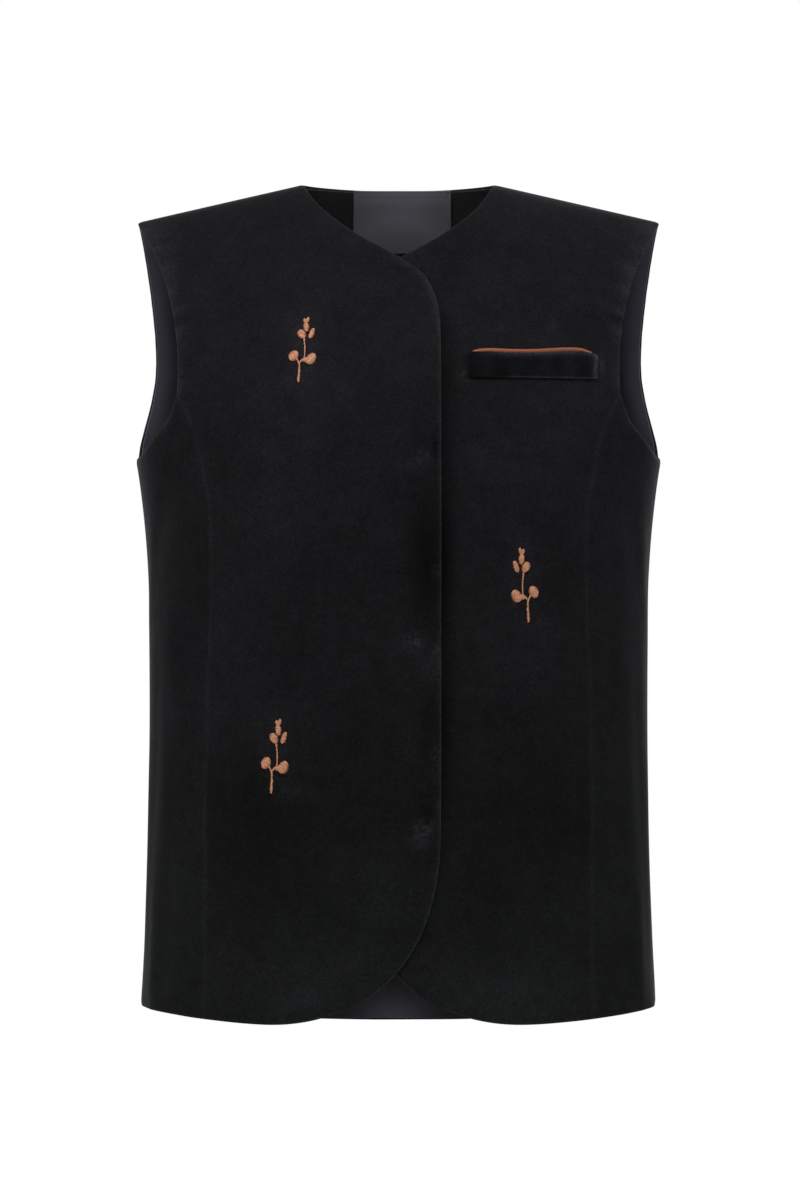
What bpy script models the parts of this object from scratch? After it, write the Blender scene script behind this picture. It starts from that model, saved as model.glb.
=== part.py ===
"""A hip-length sleeveless vest in velvet, filled out as if worn, with nobody in it.

Each cut piece is its own closed solid: two centre fronts that lap over each other, two side
fronts, one back, the back's lining and neck facing, a bare neck label, a breast pocket's welt
with its contrast lip, and three embroidered sprigs.

The cloth lies on one form. A section of the form is a rounded oval whose half width and whose
depth to the front and to the back change with height. Near the shoulders the form rounds over
a ridge, and the shoulder seams lie on it. Metres, +Z up, +X to the wearer's left, -Y to the
front. The origin is midway between the shoulder seams, level with their middles.
"""

from collections import namedtuple

import bpy
import numpy as np
from mathutils.geometry import delaunay_2d_cdt

# Sizes that drive the pattern
NECK_WIDTH = 0.154
SHOULDER_WIDTH = 0.422
SHOULDER_DROP = 0.0324
UNDERARM = -0.207
HEM = -0.651
BACK_HEM_DROP = 0.0195
OVAL_POWER = 2.3

MILLIMETRE = 0.001

# Cloth and the gaps between its layers
VELVET = 0.0020
LINING = 0.0010
LAYER_GAP = 0.0003
SEAM_HALF_GAP = 0.00018
LAP_LIFT = VELVET + 0.0008

# The shoulder's rounding, how far the form would rise inside the neck, and the least depth that
# the rounding springs from, at a shoulder tip
SHOULDER_ROUNDING = 0.055
NECK_RISE = 0.034
SHALLOWEST_SHOULDER = 0.0115

NECK_POINT = NECK_WIDTH / 2
SHOULDER_TIP = SHOULDER_WIDTH / 2
NECK_HEIGHT = SHOULDER_DROP / 2
TIP_HEIGHT = -SHOULDER_DROP / 2
SHOULDER_SLOPE = SHOULDER_DROP / (SHOULDER_TIP - NECK_POINT)

Section = namedtuple("Section", "height half_width front_depth back_depth")
SECTIONS = (
    Section(-0.700, 0.2090, 0.113, 0.098),
    Section(-0.651, 0.2082, 0.112, 0.096),
    Section(-0.600, 0.2062, 0.111, 0.093),
    Section(-0.520, 0.2032, 0.110, 0.089),
    Section(-0.440, 0.2014, 0.111, 0.086),
    Section(-0.360, 0.2014, 0.115, 0.086),
    Section(-0.300, 0.2025, 0.121, 0.089),
    Section(-0.250, 0.2060, 0.126, 0.093),
    Section(-0.207, 0.2112, 0.126, 0.095),
    Section(-0.190, 0.2150, 0.123, 0.095),
    Section(-0.150, 0.2260, 0.111, 0.093),
    Section(-0.100, 0.2340, 0.089, 0.086),
    Section(-0.050, 0.2350, 0.064, 0.073),
    Section(0.016, 0.2350, 0.037, 0.052),
    Section(0.060, 0.2350, 0.030, 0.046),
)

# Edges of the pattern pieces, as distance out from the centre line at each height
EdgePoint = namedtuple("EdgePoint", "height out")
NECK_AND_FRONT_EDGE = (
    EdgePoint(-0.1200, -0.0332),
    EdgePoint(-0.0933, -0.0319),
    EdgePoint(-0.0776, -0.0282),
    EdgePoint(-0.0617, -0.0192),
    EdgePoint(-0.0481, -0.0008),
    EdgePoint(-0.0327, 0.0265),
    EdgePoint(-0.0103, 0.0572),
    EdgePoint(0.0070, 0.0714),
    EdgePoint(NECK_HEIGHT, NECK_POINT),
)
FRONT_ARMHOLE = (
    EdgePoint(-0.1560, 0.1757),
    EdgePoint(-0.1395, 0.1755),
    EdgePoint(-0.1137, 0.1767),
    EdgePoint(-0.0875, 0.1811),
    EdgePoint(-0.0626, 0.1882),
    EdgePoint(-0.0378, 0.1982),
    EdgePoint(TIP_HEIGHT, SHOULDER_TIP),
)
LOWER_FRONT_ARMHOLE = (
    EdgePoint(-0.1560, 0.1757),
    EdgePoint(-0.1751, 0.1829),
    EdgePoint(-0.1866, 0.1914),
    EdgePoint(-0.1967, 0.2009),
    EdgePoint(-0.2040, 0.2075),
)
BACK_ARMHOLE = (
    EdgePoint(UNDERARM, 0.2112),
    EdgePoint(-0.1957, 0.2109),
    EdgePoint(-0.1753, 0.2072),
    EdgePoint(-0.1550, 0.2029),
    EdgePoint(-0.1350, 0.2001),
    EdgePoint(-0.1151, 0.1999),
    EdgePoint(-0.0759, 0.2029),
    EdgePoint(-0.0471, 0.2063),
    EdgePoint(TIP_HEIGHT, SHOULDER_TIP),
)
FRONT_SEAM = (
    EdgePoint(HEM, 0.1540),
    EdgePoint(-0.5500, 0.1528),
    EdgePoint(-0.4600, 0.1525),
    EdgePoint(-0.3660, 0.1506),
    EdgePoint(-0.3100, 0.1477),
    EdgePoint(-0.2750, 0.1479),
    EdgePoint(-0.2412, 0.1498),
    EdgePoint(-0.2073, 0.1562),
    EdgePoint(-0.1780, 0.1648),
    EdgePoint(-0.1560, 0.1757),
)

# The rounded lower corner of a front, a quarter of an oval
CUTAWAY_TOP = -0.490
CUTAWAY_INNER = 0.110
CUTAWAY_POWER = 2.5
LAP = 0.0332
CUTAWAY_WIDE = CUTAWAY_INNER + LAP
CUTAWAY_TALL = CUTAWAY_TOP - HEM
CUTAWAY_CORNER = -0.632

# Rows of the grids: arcs over the shoulder, then heights down the outer edge
SHOULDER_ARCS = np.radians([0.0, 3.0, 25.0, 48.0, 70.0, 90.0])
JUNCTION = -0.156
ARMHOLE_HEIGHTS = (-0.093, -0.115, -0.136, JUNCTION, -0.174, -0.191, UNDERARM)
BODY_HEIGHTS = (-0.224, -0.243, -0.265, -0.290, -0.320, -0.355, -0.392, -0.430, -0.470, -0.505,
                -0.535, -0.562, -0.588, -0.612, -0.632, -0.646, HEM)
SHOULDER_HEIGHTS = tuple(TIP_HEIGHT - SHOULDER_ROUNDING * (1 - np.cos(SHOULDER_ARCS)))
ROW_HEIGHTS = np.array(SHOULDER_HEIGHTS + ARMHOLE_HEIGHTS + BODY_HEIGHTS)
ROWS_DOWN = (ROW_HEIGHTS[0] - ROW_HEIGHTS) / (ROW_HEIGHTS[0] - ROW_HEIGHTS[-1])
JUNCTION_ROW = len(SHOULDER_HEIGHTS) + ARMHOLE_HEIGHTS.index(JUNCTION)

# Columns: how far out each one lies, where the shoulder tip is the full width
LABEL_HALF_WIDTH = 0.0404
FACING_HALF_WIDTH = 0.118
BACK_COLUMNS_OUT = (0.0, 0.020, LABEL_HALF_WIDTH, 0.060, 0.072, NECK_POINT, 0.097, FACING_HALF_WIDTH,
                    0.138, 0.157, 0.174, 0.188, 0.199, 0.2055, 0.2096, SHOULDER_TIP)
HEM_CURVE_POWER = 2.5
FRONT_COLUMNS = 12
SIDE_COLUMNS = 6

# The back's inside: the lining starts one row in from every edge, the facing takes its place
# down to one row, and the label hangs from the neck to partway between two rows
FACING_LAST_ROW = 6
LABEL_LAST_ROW = 4.5
PART_CELL = 0.02

# The upper front climbs over the lower one's edge between these distances across, and hidden
# fasteners hold its own edge down. It stands a little proud between them, from these distances on.
LAP_CLIMB = (-0.085, -0.045)
FASTENER_HEIGHTS = (-0.488, -0.351, -0.212, -0.070)
EDGE_BULGE = 0.0020
BULGE_REACH = (-0.030, 0.030)

# Breast pocket on the wearer's left front
WELT_INNER = 0.0540
WELT_OUTER = 0.1566
WELT_TOP = -0.1255
WELT_BOTTOM = -0.1465
WELT_CORNER = 0.006
WELT_CORNER_DROP = 0.0042
WELT_CLOTH = 0.0018
LIP_SHOWS = 0.0033
LIP_TUCK = 0.005
LIP_INSET = 0.004
LIP_BEND = 0.009
LIP_END_DROP = 0.0026
LIP_CLOTH = 0.0010
POCKET_COLUMNS = 15

# Embroidered sprigs: the middle of each, and which way its larger leaf points
SPRIG_THREAD = 0.0008
SprigPlace = namedtuple("SprigPlace", "name out height turned")
SPRIGS = (
    SprigPlace("sprig_right_chest", -0.0755, -0.1230, 1),
    SprigPlace("sprig_left_waist", 0.0990, -0.3083, -1),
    SprigPlace("sprig_right_hip", -0.0985, -0.4427, 1),
)
Leaf = namedtuple("Leaf", "across up half_length half_width lean")
SPRIG_LEAVES = (
    Leaf(-0.0071, -0.0054, 0.0054, 0.0041, 80),
    Leaf(0.0067, -0.0089, 0.0057, 0.0052, 30),
    Leaf(0.0022, -0.0096, 0.0034, 0.0023, 15),
    Leaf(-0.0009, 0.0148, 0.0047, 0.0035, 131),
    Leaf(0.0065, 0.0152, 0.0054, 0.0026, 75),
    Leaf(0.0024, 0.0211, 0.0042, 0.0021, 92),
    Leaf(0.0019, 0.0276, 0.0033, 0.0022, 85),
)
StemPoint = namedtuple("StemPoint", "across up half_width")
SPRIG_STEMS = (
    (StemPoint(-0.0028, -0.0306, 0.0012), StemPoint(-0.0024, -0.0234, 0.0011),
     StemPoint(-0.0023, -0.0153, 0.0010), StemPoint(-0.0025, -0.0118, 0.0010)),
    (StemPoint(-0.0024, -0.0128, 0.0009), StemPoint(-0.0035, -0.0105, 0.0009),
     StemPoint(-0.0046, -0.0080, 0.0009)),
    (StemPoint(-0.0024, -0.0128, 0.0009), StemPoint(-0.0006, -0.0100, 0.0010),
     StemPoint(0.0022, -0.0082, 0.0010)),
    (StemPoint(0.0015, -0.0092, 0.0009), StemPoint(0.0021, -0.0031, 0.0009),
     StemPoint(0.0016, 0.0026, 0.0009), StemPoint(0.0010, 0.0091, 0.0009),
     StemPoint(0.0010, 0.0130, 0.0009), StemPoint(0.0023, 0.0185, 0.0007)),
    (StemPoint(0.0010, 0.0112, 0.0007), StemPoint(0.0056, 0.0130, 0.0007)),
)
LEAF_POINTS = 14

FINISHES = {
    "velvet": ((0.012, 0.012, 0.013), 0.85),
    "lining": ((0.060, 0.060, 0.070), 0.45),
    "facing": ((0.008, 0.008, 0.008), 0.80),
    "label": ((0.080, 0.080, 0.095), 0.40),
    "contrast": ((0.400, 0.110, 0.050), 0.50),
    "thread": ((0.560, 0.230, 0.120), 0.55),
}


def smooth(points, at):
    """A smooth curve through a table's (height, value) points, read at the heights given.

    Between two points it is the cubic that keeps a gentle slope at both.
    """
    heights, values = np.array(points, float).T
    if heights[0] > heights[-1]:
        heights, values = heights[::-1], values[::-1]
    at = np.clip(at, heights[0], heights[-1])
    slopes = np.gradient(values, heights)
    i = np.clip(np.searchsorted(heights, at) - 1, 0, len(heights) - 2)
    step = heights[i + 1] - heights[i]
    t = (at - heights[i]) / step
    return (
        values[i] * (2 * t**3 - 3 * t**2 + 1)
        + slopes[i] * step * (t**3 - 2 * t**2 + t)
        + values[i + 1] * (3 * t**2 - 2 * t**3)
        + slopes[i + 1] * step * (t**3 - t**2)
    )


def section(name, height):
    """One column of the table of sections, at any height."""
    return smooth([(s.height, getattr(s, name)) for s in SECTIONS], height)


def ridge(x):
    """Height of the shoulder ridge at a distance across, and its slope there.

    It is straight from the shoulder tip to the neck. Inside the neck it goes on as a cubic with
    the same slope at the neck point, level at the middle, which only shapes the neck's curve.
    """
    out = np.abs(x)
    inward = np.clip(1 - out / NECK_POINT, 0, 1)
    first = SHOULDER_SLOPE
    third = first - 2 * NECK_RISE / NECK_POINT
    second = NECK_RISE / NECK_POINT - first - third
    height = NECK_HEIGHT - np.maximum(out - NECK_POINT, 0) * SHOULDER_SLOPE
    height = height + NECK_POINT * (first * inward + second * inward**2 + third * inward**3)
    slope = first + 2 * second * inward + 3 * third * inward**2
    return height, -slope * np.sign(x)


def on_form(x, z, side):
    """Points of the form and their outward normals; side is "front" or "back".

    Depth squared is the section's depth squared, times the oval's share at this width, times
    the shoulder's rounding. The normal is the gradient of that rule.
    """
    x, z = np.broadcast_arrays(np.asarray(x, float), np.asarray(z, float))
    nudge = 1e-5
    half_width = section("half_width", z)
    width_slope = (section("half_width", z + nudge) - section("half_width", z - nudge)) / (2 * nudge)
    deep = section(side + "_depth", z)
    deep_slope = (section(side + "_depth", z + nudge) - section(side + "_depth", z - nudge)) / (2 * nudge)

    share = np.clip(np.abs(x) / half_width, 0, 1)
    left = np.maximum(1 - share**OVAL_POWER, 1e-12)
    oval = left ** (2 / OVAL_POWER)
    steep = 2 * left ** (2 / OVAL_POWER - 1) * share ** (OVAL_POWER - 1)
    oval_x = -steep * np.sign(x) / half_width
    oval_z = steep * share * width_slope / half_width

    top, top_slope = ridge(x)
    below = np.clip((top - z) / SHOULDER_ROUNDING, 0, 1)
    rounding = 1 - (1 - below) ** 2
    rounding_rate = 2 * (1 - below) / SHOULDER_ROUNDING

    front = -1 if side == "front" else 1
    y = front * deep * np.sqrt(oval * rounding)
    normal = np.stack(
        [
            -(deep**2) * (oval_x * rounding + oval * rounding_rate * top_slope),
            2 * y,
            -2 * deep * deep_slope * oval * rounding
            - deep**2 * (oval_z * rounding - oval * rounding_rate),
        ],
        axis=-1,
    )
    normal /= np.linalg.norm(normal, axis=-1, keepdims=True)
    return np.stack([x, y, z], axis=-1), normal


def across_at(angle, z):
    """Distance out of the point of a section at an angle round it, where 0 is the side seam."""
    return section("half_width", z) * np.cos(angle) ** (2 / OVAL_POWER)


def angle_at(out, z):
    """The angle round a section of the point at this distance out."""
    return np.arccos(np.clip(out / section("half_width", z), 0, 1) ** (OVAL_POWER / 2))


def patch(left, right, top, bottom, across, down):
    """A grid of points between four edges: the two ruled surfaces between facing edges, added,
    less the one between the corners."""
    c, r = across[None, :, None], down[:, None, None]
    sides = (1 - c) * left[:, None] + c * right[:, None]
    ends = (1 - r) * top[None] + r * bottom[None]
    corners = (1 - r) * ((1 - c) * top[0] + c * top[-1]) + r * ((1 - c) * bottom[0] + c * bottom[-1])
    return sides + ends - corners


def sample(grid, rows, columns):
    """A grid read at fractional rows and columns, straight between its points."""
    rows, columns = np.asarray(rows, float), np.asarray(columns, float)
    r = np.clip(rows.astype(int), 0, grid.shape[0] - 2)
    c = np.clip(columns.astype(int), 0, grid.shape[1] - 2)
    fr, fc = (rows - r)[:, None, None], (columns - c)[None, :, None]
    above = grid[r][:, c] * (1 - fc) + grid[r][:, c + 1] * fc
    under = grid[r + 1][:, c] * (1 - fc) + grid[r + 1][:, c + 1] * fc
    return above * (1 - fr) + under * fr


def material(name):
    """A finish's material, made once."""
    found = bpy.data.materials.get(name)
    if found:
        return found
    colour, roughness = FINISHES[name]
    made = bpy.data.materials.new(name)
    made.use_nodes = True
    shader = made.node_tree.nodes["Principled BSDF"]
    shader.inputs["Base Color"].default_value = (*colour, 1)
    shader.inputs["Roughness"].default_value = roughness
    shader.inputs["Metallic"].default_value = 0
    return made


def solid(name, outer, inner, triangles, finish):
    """A wall between two sheets with the same triangles, closed along every free edge.

    The triangles run anticlockwise as seen from the outer sheet.
    """
    count = len(outer)
    edges = [pair for a, b, c in triangles for pair in ((a, b), (b, c), (c, a))]
    shared = set(edges)
    free = [(a, b) for a, b in edges if (b, a) not in shared]
    faces = [tuple(t) for t in triangles]
    faces += [(a + count, c + count, b + count) for a, b, c in triangles]
    for a, b in free:
        faces += [(b, a, a + count), (b, a + count, b + count)]
    mesh = bpy.data.meshes.new(name)
    mesh.from_pydata([tuple(p) for p in np.concatenate([outer, inner])], [], faces)
    mesh.materials.append(material(finish))
    made = bpy.data.objects.new(name, mesh)
    bpy.context.scene.collection.objects.link(made)
    mesh.shade_smooth()
    mesh.set_sharp_from_angle(angle=np.radians(50))


def grid_triangles(rows, columns, keep=None):
    """Two triangles for each cell of a grid. keep says which cells count: all, if it is left out."""
    triangles = []
    for r in range(rows - 1):
        for c in range(columns - 1):
            if keep is None or keep(r, c):
                a, b = r * columns + c, r * columns + c + 1
                triangles += [(a, a + columns, b + columns), (a, b + columns, b)]
    return triangles


def cloth(name, points, normals, outer_lift, inner_lift, finish, keep=None):
    """A cloth wall on a grid: the grid moved along its normals to the two lifts."""
    outer = (points + normals * outer_lift).reshape(-1, 3)
    inner = (points + normals * inner_lift).reshape(-1, 3)
    triangles = grid_triangles(*points.shape[:2], keep)
    a, b, c = (outer[i] for i in triangles[0])
    if np.cross(b - a, c - a) @ normals.reshape(-1, 3)[triangles[0][0]] < 0:
        triangles = [t[::-1] for t in triangles]
    used = sorted({i for t in triangles for i in t})
    place = {old: new for new, old in enumerate(used)}
    triangles = [tuple(place[i] for i in t) for t in triangles]
    solid(name, outer[used], inner[used], triangles, finish)


def front_edge(z):
    """Distance out of a front's inner edge: neckline, straight edge, then the rounded corner."""
    upper = smooth(NECK_AND_FRONT_EDGE, z)
    drop = np.clip((CUTAWAY_TOP - z) / CUTAWAY_TALL, 0, 1)
    corner = CUTAWAY_INNER - CUTAWAY_WIDE * (1 - drop**CUTAWAY_POWER) ** (1 / CUTAWAY_POWER)
    return np.where(z < CUTAWAY_TOP, corner, upper)


def front_hem(out):
    """Height of a front's lower edge: the last of the rounded corner, then the level hem."""
    reach = np.clip((CUTAWAY_INNER - out) / CUTAWAY_WIDE, 0, 1)
    return CUTAWAY_TOP - CUTAWAY_TALL * (1 - reach**CUTAWAY_POWER) ** (1 / CUTAWAY_POWER)


def side_seam_angle(side, z):
    """The angle at which the form is half a seam's gap in front of or behind the side seam."""
    return (SEAM_HALF_GAP / section(side + "_depth", z)) ** (OVAL_POWER / 2)


def lap_lift(x, z):
    """How far the upper front stands off the form, as it climbs over the lower one and stands
    proud between the fasteners."""
    climb = np.clip((x - LAP_CLIMB[0]) / (LAP_CLIMB[1] - LAP_CLIMB[0]), 0, 1)
    near_edge = np.clip((x - BULGE_REACH[0]) / (BULGE_REACH[1] - BULGE_REACH[0]), 0, 1)
    between = np.interp(z, FASTENER_HEIGHTS, range(len(FASTENER_HEIGHTS)))
    return LAP_LIFT * climb**2 * (3 - 2 * climb) + EDGE_BULGE * near_edge**2 * np.sin(np.pi * between) ** 2


def centre_front(hand, sign, over):
    """A centre front, and the points and normals of its face. sign is +1 on the wearer's left.

    The inner edge is the neckline, the front edge and most of the rounded corner. The outer edge
    is the armhole, then the seam to the side front.
    """
    across = np.linspace(0, 1, FRONT_COLUMNS)
    inner_z = NECK_HEIGHT - SEAM_DIP + (CUTAWAY_CORNER - NECK_HEIGHT) * ROWS_DOWN
    inner = np.stack([front_edge(inner_z), inner_z], axis=-1)
    armhole = smooth(FRONT_ARMHOLE, EDGE_ROWS)
    seam = smooth(FRONT_SEAM, EDGE_ROWS) - SEAM_HALF_GAP
    outer_out = np.where(np.arange(len(EDGE_ROWS)) < JUNCTION_ROW, armhole, seam)
    outer = np.stack([outer_out, EDGE_ROWS], axis=-1)
    top = inner[0] + (outer[0] - inner[0]) * across[:, None]
    hem_out = inner[-1, 0] + (outer[-1, 0] - inner[-1, 0]) * across
    bottom = np.stack([hem_out, front_hem(hem_out)], axis=-1)
    bottom[0], bottom[-1] = inner[-1], outer[-1]

    flat = patch(inner, outer, top, bottom, across, ROWS_DOWN)
    x, z = sign * flat[..., 0], flat[..., 1]
    points, normals = on_form(x, z, "front")
    if over:
        points = points + normals * lap_lift(x, z)[..., None]
    cloth("centre_front_" + hand, points, normals, 0, -VELVET, "velvet")
    return points, normals


def side_front(hand, sign):
    """A side front, from the seam round to the side seam. Its rows are the centre front's."""
    rows_z = EDGE_ROWS[JUNCTION_ROW:]
    down = (rows_z[0] - rows_z) / (rows_z[0] - rows_z[-1])
    across = np.linspace(0, 1, SIDE_COLUMNS)
    seam_out = smooth(FRONT_SEAM, rows_z) + SEAM_HALF_GAP
    seam = np.stack([angle_at(seam_out, rows_z), rows_z], axis=-1)
    side_z = UNDERARM + (HEM - UNDERARM) * down
    side = np.stack([side_seam_angle("front", side_z), side_z], axis=-1)

    arm_z = [p.height for p in LOWER_FRONT_ARMHOLE] + [UNDERARM]
    arm_angle = [angle_at(p.out, p.height) for p in LOWER_FRONT_ARMHOLE] + [side[0, 0]]
    run = np.linspace(0, 1, len(arm_z))
    top_angle = smooth(list(zip(run, arm_angle)), across)
    top = np.stack([top_angle, smooth(list(zip(run, arm_z)), across)], axis=-1)
    top[0], top[-1] = seam[0], side[0]
    bottom = seam[-1] + (side[-1] - seam[-1]) * across[:, None]

    flat = patch(seam, side, top, bottom, across, down)
    x = sign * across_at(flat[..., 0], flat[..., 1])
    points, normals = on_form(x, flat[..., 1], "front")
    cloth("side_front_" + hand, points, normals, 0, -VELVET, "velvet")


def back_grid():
    """Points and normals of the back, from armhole to armhole and from neck to hem."""
    half = np.array(BACK_COLUMNS_OUT) / SHOULDER_TIP
    share = np.concatenate([-half[:0:-1], half])
    side_seam = across_at(side_seam_angle("back", EDGE_ROWS), EDGE_ROWS)
    armhole_rows = len(SHOULDER_HEIGHTS) + len(ARMHOLE_HEIGHTS) - 1
    in_armhole = np.arange(len(EDGE_ROWS)) < armhole_rows
    edge_out = np.where(in_armhole, smooth(BACK_ARMHOLE, EDGE_ROWS), side_seam)
    neck = np.minimum(ridge(share * edge_out[0])[0], NECK_HEIGHT) - SEAM_DIP
    hem = HEM - BACK_HEM_DROP * (1 - np.abs(share) ** HEM_CURVE_POWER)
    neck_rise = (1 - ROWS_DOWN)[:, None] * (neck - neck[-1])[None]
    hem_drop = ROWS_DOWN[:, None] * (hem - HEM)[None]
    z = EDGE_ROWS[:, None] + neck_rise + hem_drop
    return on_form(share[None] * edge_out[:, None], z, "back")


def back_pieces():
    """The back, its lining and neck facing one layer in, and the label inside the facing."""
    points, normals = back_grid()
    cloth("back", points, normals, 0, -VELVET, "velvet")

    middle = points.shape[1] // 2
    reach = BACK_COLUMNS_OUT.index(FACING_HALF_WIDTH)
    first, last = middle - reach, middle + reach
    outside = -(VELVET + LAYER_GAP)
    inside = outside - LINING

    def clear_of_facing(row, column):
        return row + 1 >= FACING_LAST_ROW or not first <= column + 1 < last

    within = points[1:-1, 1:-1], normals[1:-1, 1:-1]
    cloth("back_lining", *within, outside, inside, "lining", clear_of_facing)

    rows = np.append(np.arange(1, FACING_LAST_ROW), FACING_LAST_ROW - PART_CELL)
    columns = np.concatenate([[first + PART_CELL], np.arange(first + 1, last), [last - PART_CELL]])
    facing = sample(points, rows, columns), sample(normals, rows, columns)
    cloth("neck_facing", *facing, outside, inside, "facing")

    half_label = BACK_COLUMNS_OUT.index(LABEL_HALF_WIDTH)
    rows = np.append(np.arange(1, LABEL_LAST_ROW), LABEL_LAST_ROW)
    columns = np.arange(middle - half_label, middle + half_label + 1)
    label = sample(points, rows, columns), sample(normals, rows, columns)
    cloth("neck_label", *label, inside - LAYER_GAP, inside - LAYER_GAP - LINING, "label")


class Panel:
    """A panel's outer face as flat triangles, to lay trims on."""

    def __init__(self, points, normals):
        rows, columns = points.shape[:2]
        self.points = points.reshape(-1, 3)
        self.normals = normals.reshape(-1, 3)
        self.triangles = np.array(grid_triangles(rows, columns))

    def lay(self, x, z, lift):
        """The panel's points at these places, moved out by the lift."""
        places = np.stack([x, z], axis=-1).reshape(-1, 1, 2)
        a, b, c = (self.points[self.triangles[:, k]][:, [0, 2]] for k in range(3))
        area = cross(b - a, c - a)
        near_a = cross(b - places, c - places) / area
        near_b = cross(c - places, a - places) / area
        shares = np.stack([near_a, near_b, 1 - near_a - near_b], axis=-1)
        best = np.argmax(shares.min(axis=-1), axis=1)
        shares = shares[np.arange(len(best)), best][..., None]
        corners = self.triangles[best]
        normals = (shares * self.normals[corners]).sum(axis=1)
        normals /= np.linalg.norm(normals, axis=-1, keepdims=True)
        rise = np.broadcast_to(lift, np.shape(x)).reshape(-1, 1)
        return (shares * self.points[corners]).sum(axis=1) + rise * normals

    def stretch(self, x, z):
        """How much longer the cloth is than its front view, across and up, at one place."""
        reach = 0.004
        left, right, low, high = self.lay(
            x + reach * np.array([-1, 1, 0, 0]),
            z + reach * np.array([0, 0, -1, 1]),
            0,
        )
        return np.linalg.norm(right - left) / (2 * reach), np.linalg.norm(high - low) / (2 * reach)


def cross(a, b):
    """The cross product of flat vectors."""
    return a[..., 0] * b[..., 1] - a[..., 1] * b[..., 0]


def trim(name, panel, x, z, inner_lift, thick, finish):
    """A trim on a grid over a panel. Its top row comes first."""
    x, z, inner_lift = np.broadcast_arrays(x, z, inner_lift)
    outer = panel.lay(x, z, inner_lift + thick)
    inner = panel.lay(x, z, inner_lift)
    solid(name, outer, inner, grid_triangles(*x.shape), finish)


def pocket(panel):
    """A welt sewn down at its foot and ends, and the contrast lip that stands above it."""
    share = np.linspace(0, 1, POCKET_COLUMNS)
    from_end = np.minimum(share, 1 - share)

    width = WELT_OUTER - WELT_INNER
    corner = np.clip(1 - from_end * width / WELT_CORNER, 0, 1)
    top = WELT_TOP - WELT_CORNER_DROP * (1 - np.sqrt(1 - corner**2))
    down = np.linspace(0, 1, 6)[:, None]
    z = top * (1 - down) + WELT_BOTTOM * down
    over_lip = np.clip((z - WELT_BOTTOM) / (WELT_TOP - LIP_TUCK - WELT_BOTTOM), 0, 1)
    inner_lift = LAYER_GAP + (LIP_CLOTH + LAYER_GAP) * over_lip
    trim("pocket_welt", panel, WELT_INNER + width * share, z, inner_lift, WELT_CLOTH, "velvet")

    width -= 2 * LIP_INSET
    bend = np.clip(1 - from_end * width / LIP_BEND, 0, 1)
    top = WELT_TOP + LIP_SHOWS - LIP_END_DROP * bend**2
    down = np.linspace(0, 1, 4)[:, None]
    z = top * (1 - down) + (WELT_TOP - LIP_TUCK) * down
    trim("pocket_lip", panel, WELT_INNER + LIP_INSET + width * share, z, LAYER_GAP, LIP_CLOTH, "contrast")


def leaf_outline(leaf):
    """A leaf as an oval, leaning so many degrees from level."""
    turn = np.linspace(0, 2 * np.pi, LEAF_POINTS, endpoint=False)
    along, wide = leaf.half_length * np.cos(turn), leaf.half_width * np.sin(turn)
    lean = np.radians(leaf.lean)
    across = leaf.across + along * np.cos(lean) - wide * np.sin(lean)
    return np.stack([across, leaf.up + along * np.sin(lean) + wide * np.cos(lean)], axis=-1)


def stem_outline(points):
    """A stem as a strip along its points, as wide as each says."""
    middle = np.array([(p.across, p.up) for p in points])
    half = np.array([p.half_width for p in points])
    along = np.gradient(middle, axis=0)
    along /= np.linalg.norm(along, axis=1, keepdims=True)
    side = np.stack([-along[:, 1], along[:, 0]], axis=-1) * half[:, None]
    return np.concatenate([middle - side, (middle + side)[::-1]])


def sprig(place, panel):
    """One embroidered sprig: leaves and stems joined into one outline, raised off the cloth."""
    outlines = [leaf_outline(leaf) for leaf in SPRIG_LEAVES] + [stem_outline(s) for s in SPRIG_STEMS]
    starts = np.cumsum([0] + [len(o) for o in outlines])
    loops = [list(range(a, b)) for a, b in zip(starts, starts[1:])]
    corners = [tuple(p) for p in np.concatenate(outlines) / MILLIMETRE]
    keep_inside, merge_within = 1, 0.0001
    flat, _, faces = delaunay_2d_cdt(corners, [], loops, keep_inside, merge_within)[:3]
    flat = np.array([tuple(p) for p in flat]) * MILLIMETRE
    wide, tall = panel.stretch(place.out, place.height)
    x = place.out + place.turned * flat[:, 0] / wide
    z = place.height + flat[:, 1] / tall
    triangles = [tuple(f)[::place.turned] for f in faces]
    outer = panel.lay(x, z, LAYER_GAP + SPRIG_THREAD)
    inner = panel.lay(x, z, LAYER_GAP)
    solid(place.name, outer, inner, triangles, "thread")


def main():
    for old in list(bpy.data.objects):
        bpy.data.objects.remove(old, do_unlink=True)
    left = Panel(*centre_front("left", 1, over=False))
    right = Panel(*centre_front("right", -1, over=True))
    side_front("left", 1)
    side_front("right", -1)
    back_pieces()
    pocket(left)
    for place in SPRIGS:
        sprig(place, left if place.out > 0 else right)


# How far below the ridge the form is half a seam's gap deep, and the rows of an outer edge,
# which start that far down
SEAM_DIP = SHOULDER_ROUNDING * (1 - np.sqrt(1 - (SEAM_HALF_GAP / SHALLOWEST_SHOULDER) ** 2))
EDGE_ROWS = ROW_HEIGHTS - SEAM_DIP * (1 - ROWS_DOWN)

main()
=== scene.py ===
"""How the velvet vest looks.

Each cloth piece is a fine surface over its solid's own form: a closed wall whose edges turn over in
a half round, with its creases and puckers, the dimples of the hidden fasteners, and the pile's marks,
with painted shade, painted shadows and painted highlights in its colour. The sprigs are threads,
laid side by side. Metres, +Z up, -Y to the front.
"""

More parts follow.
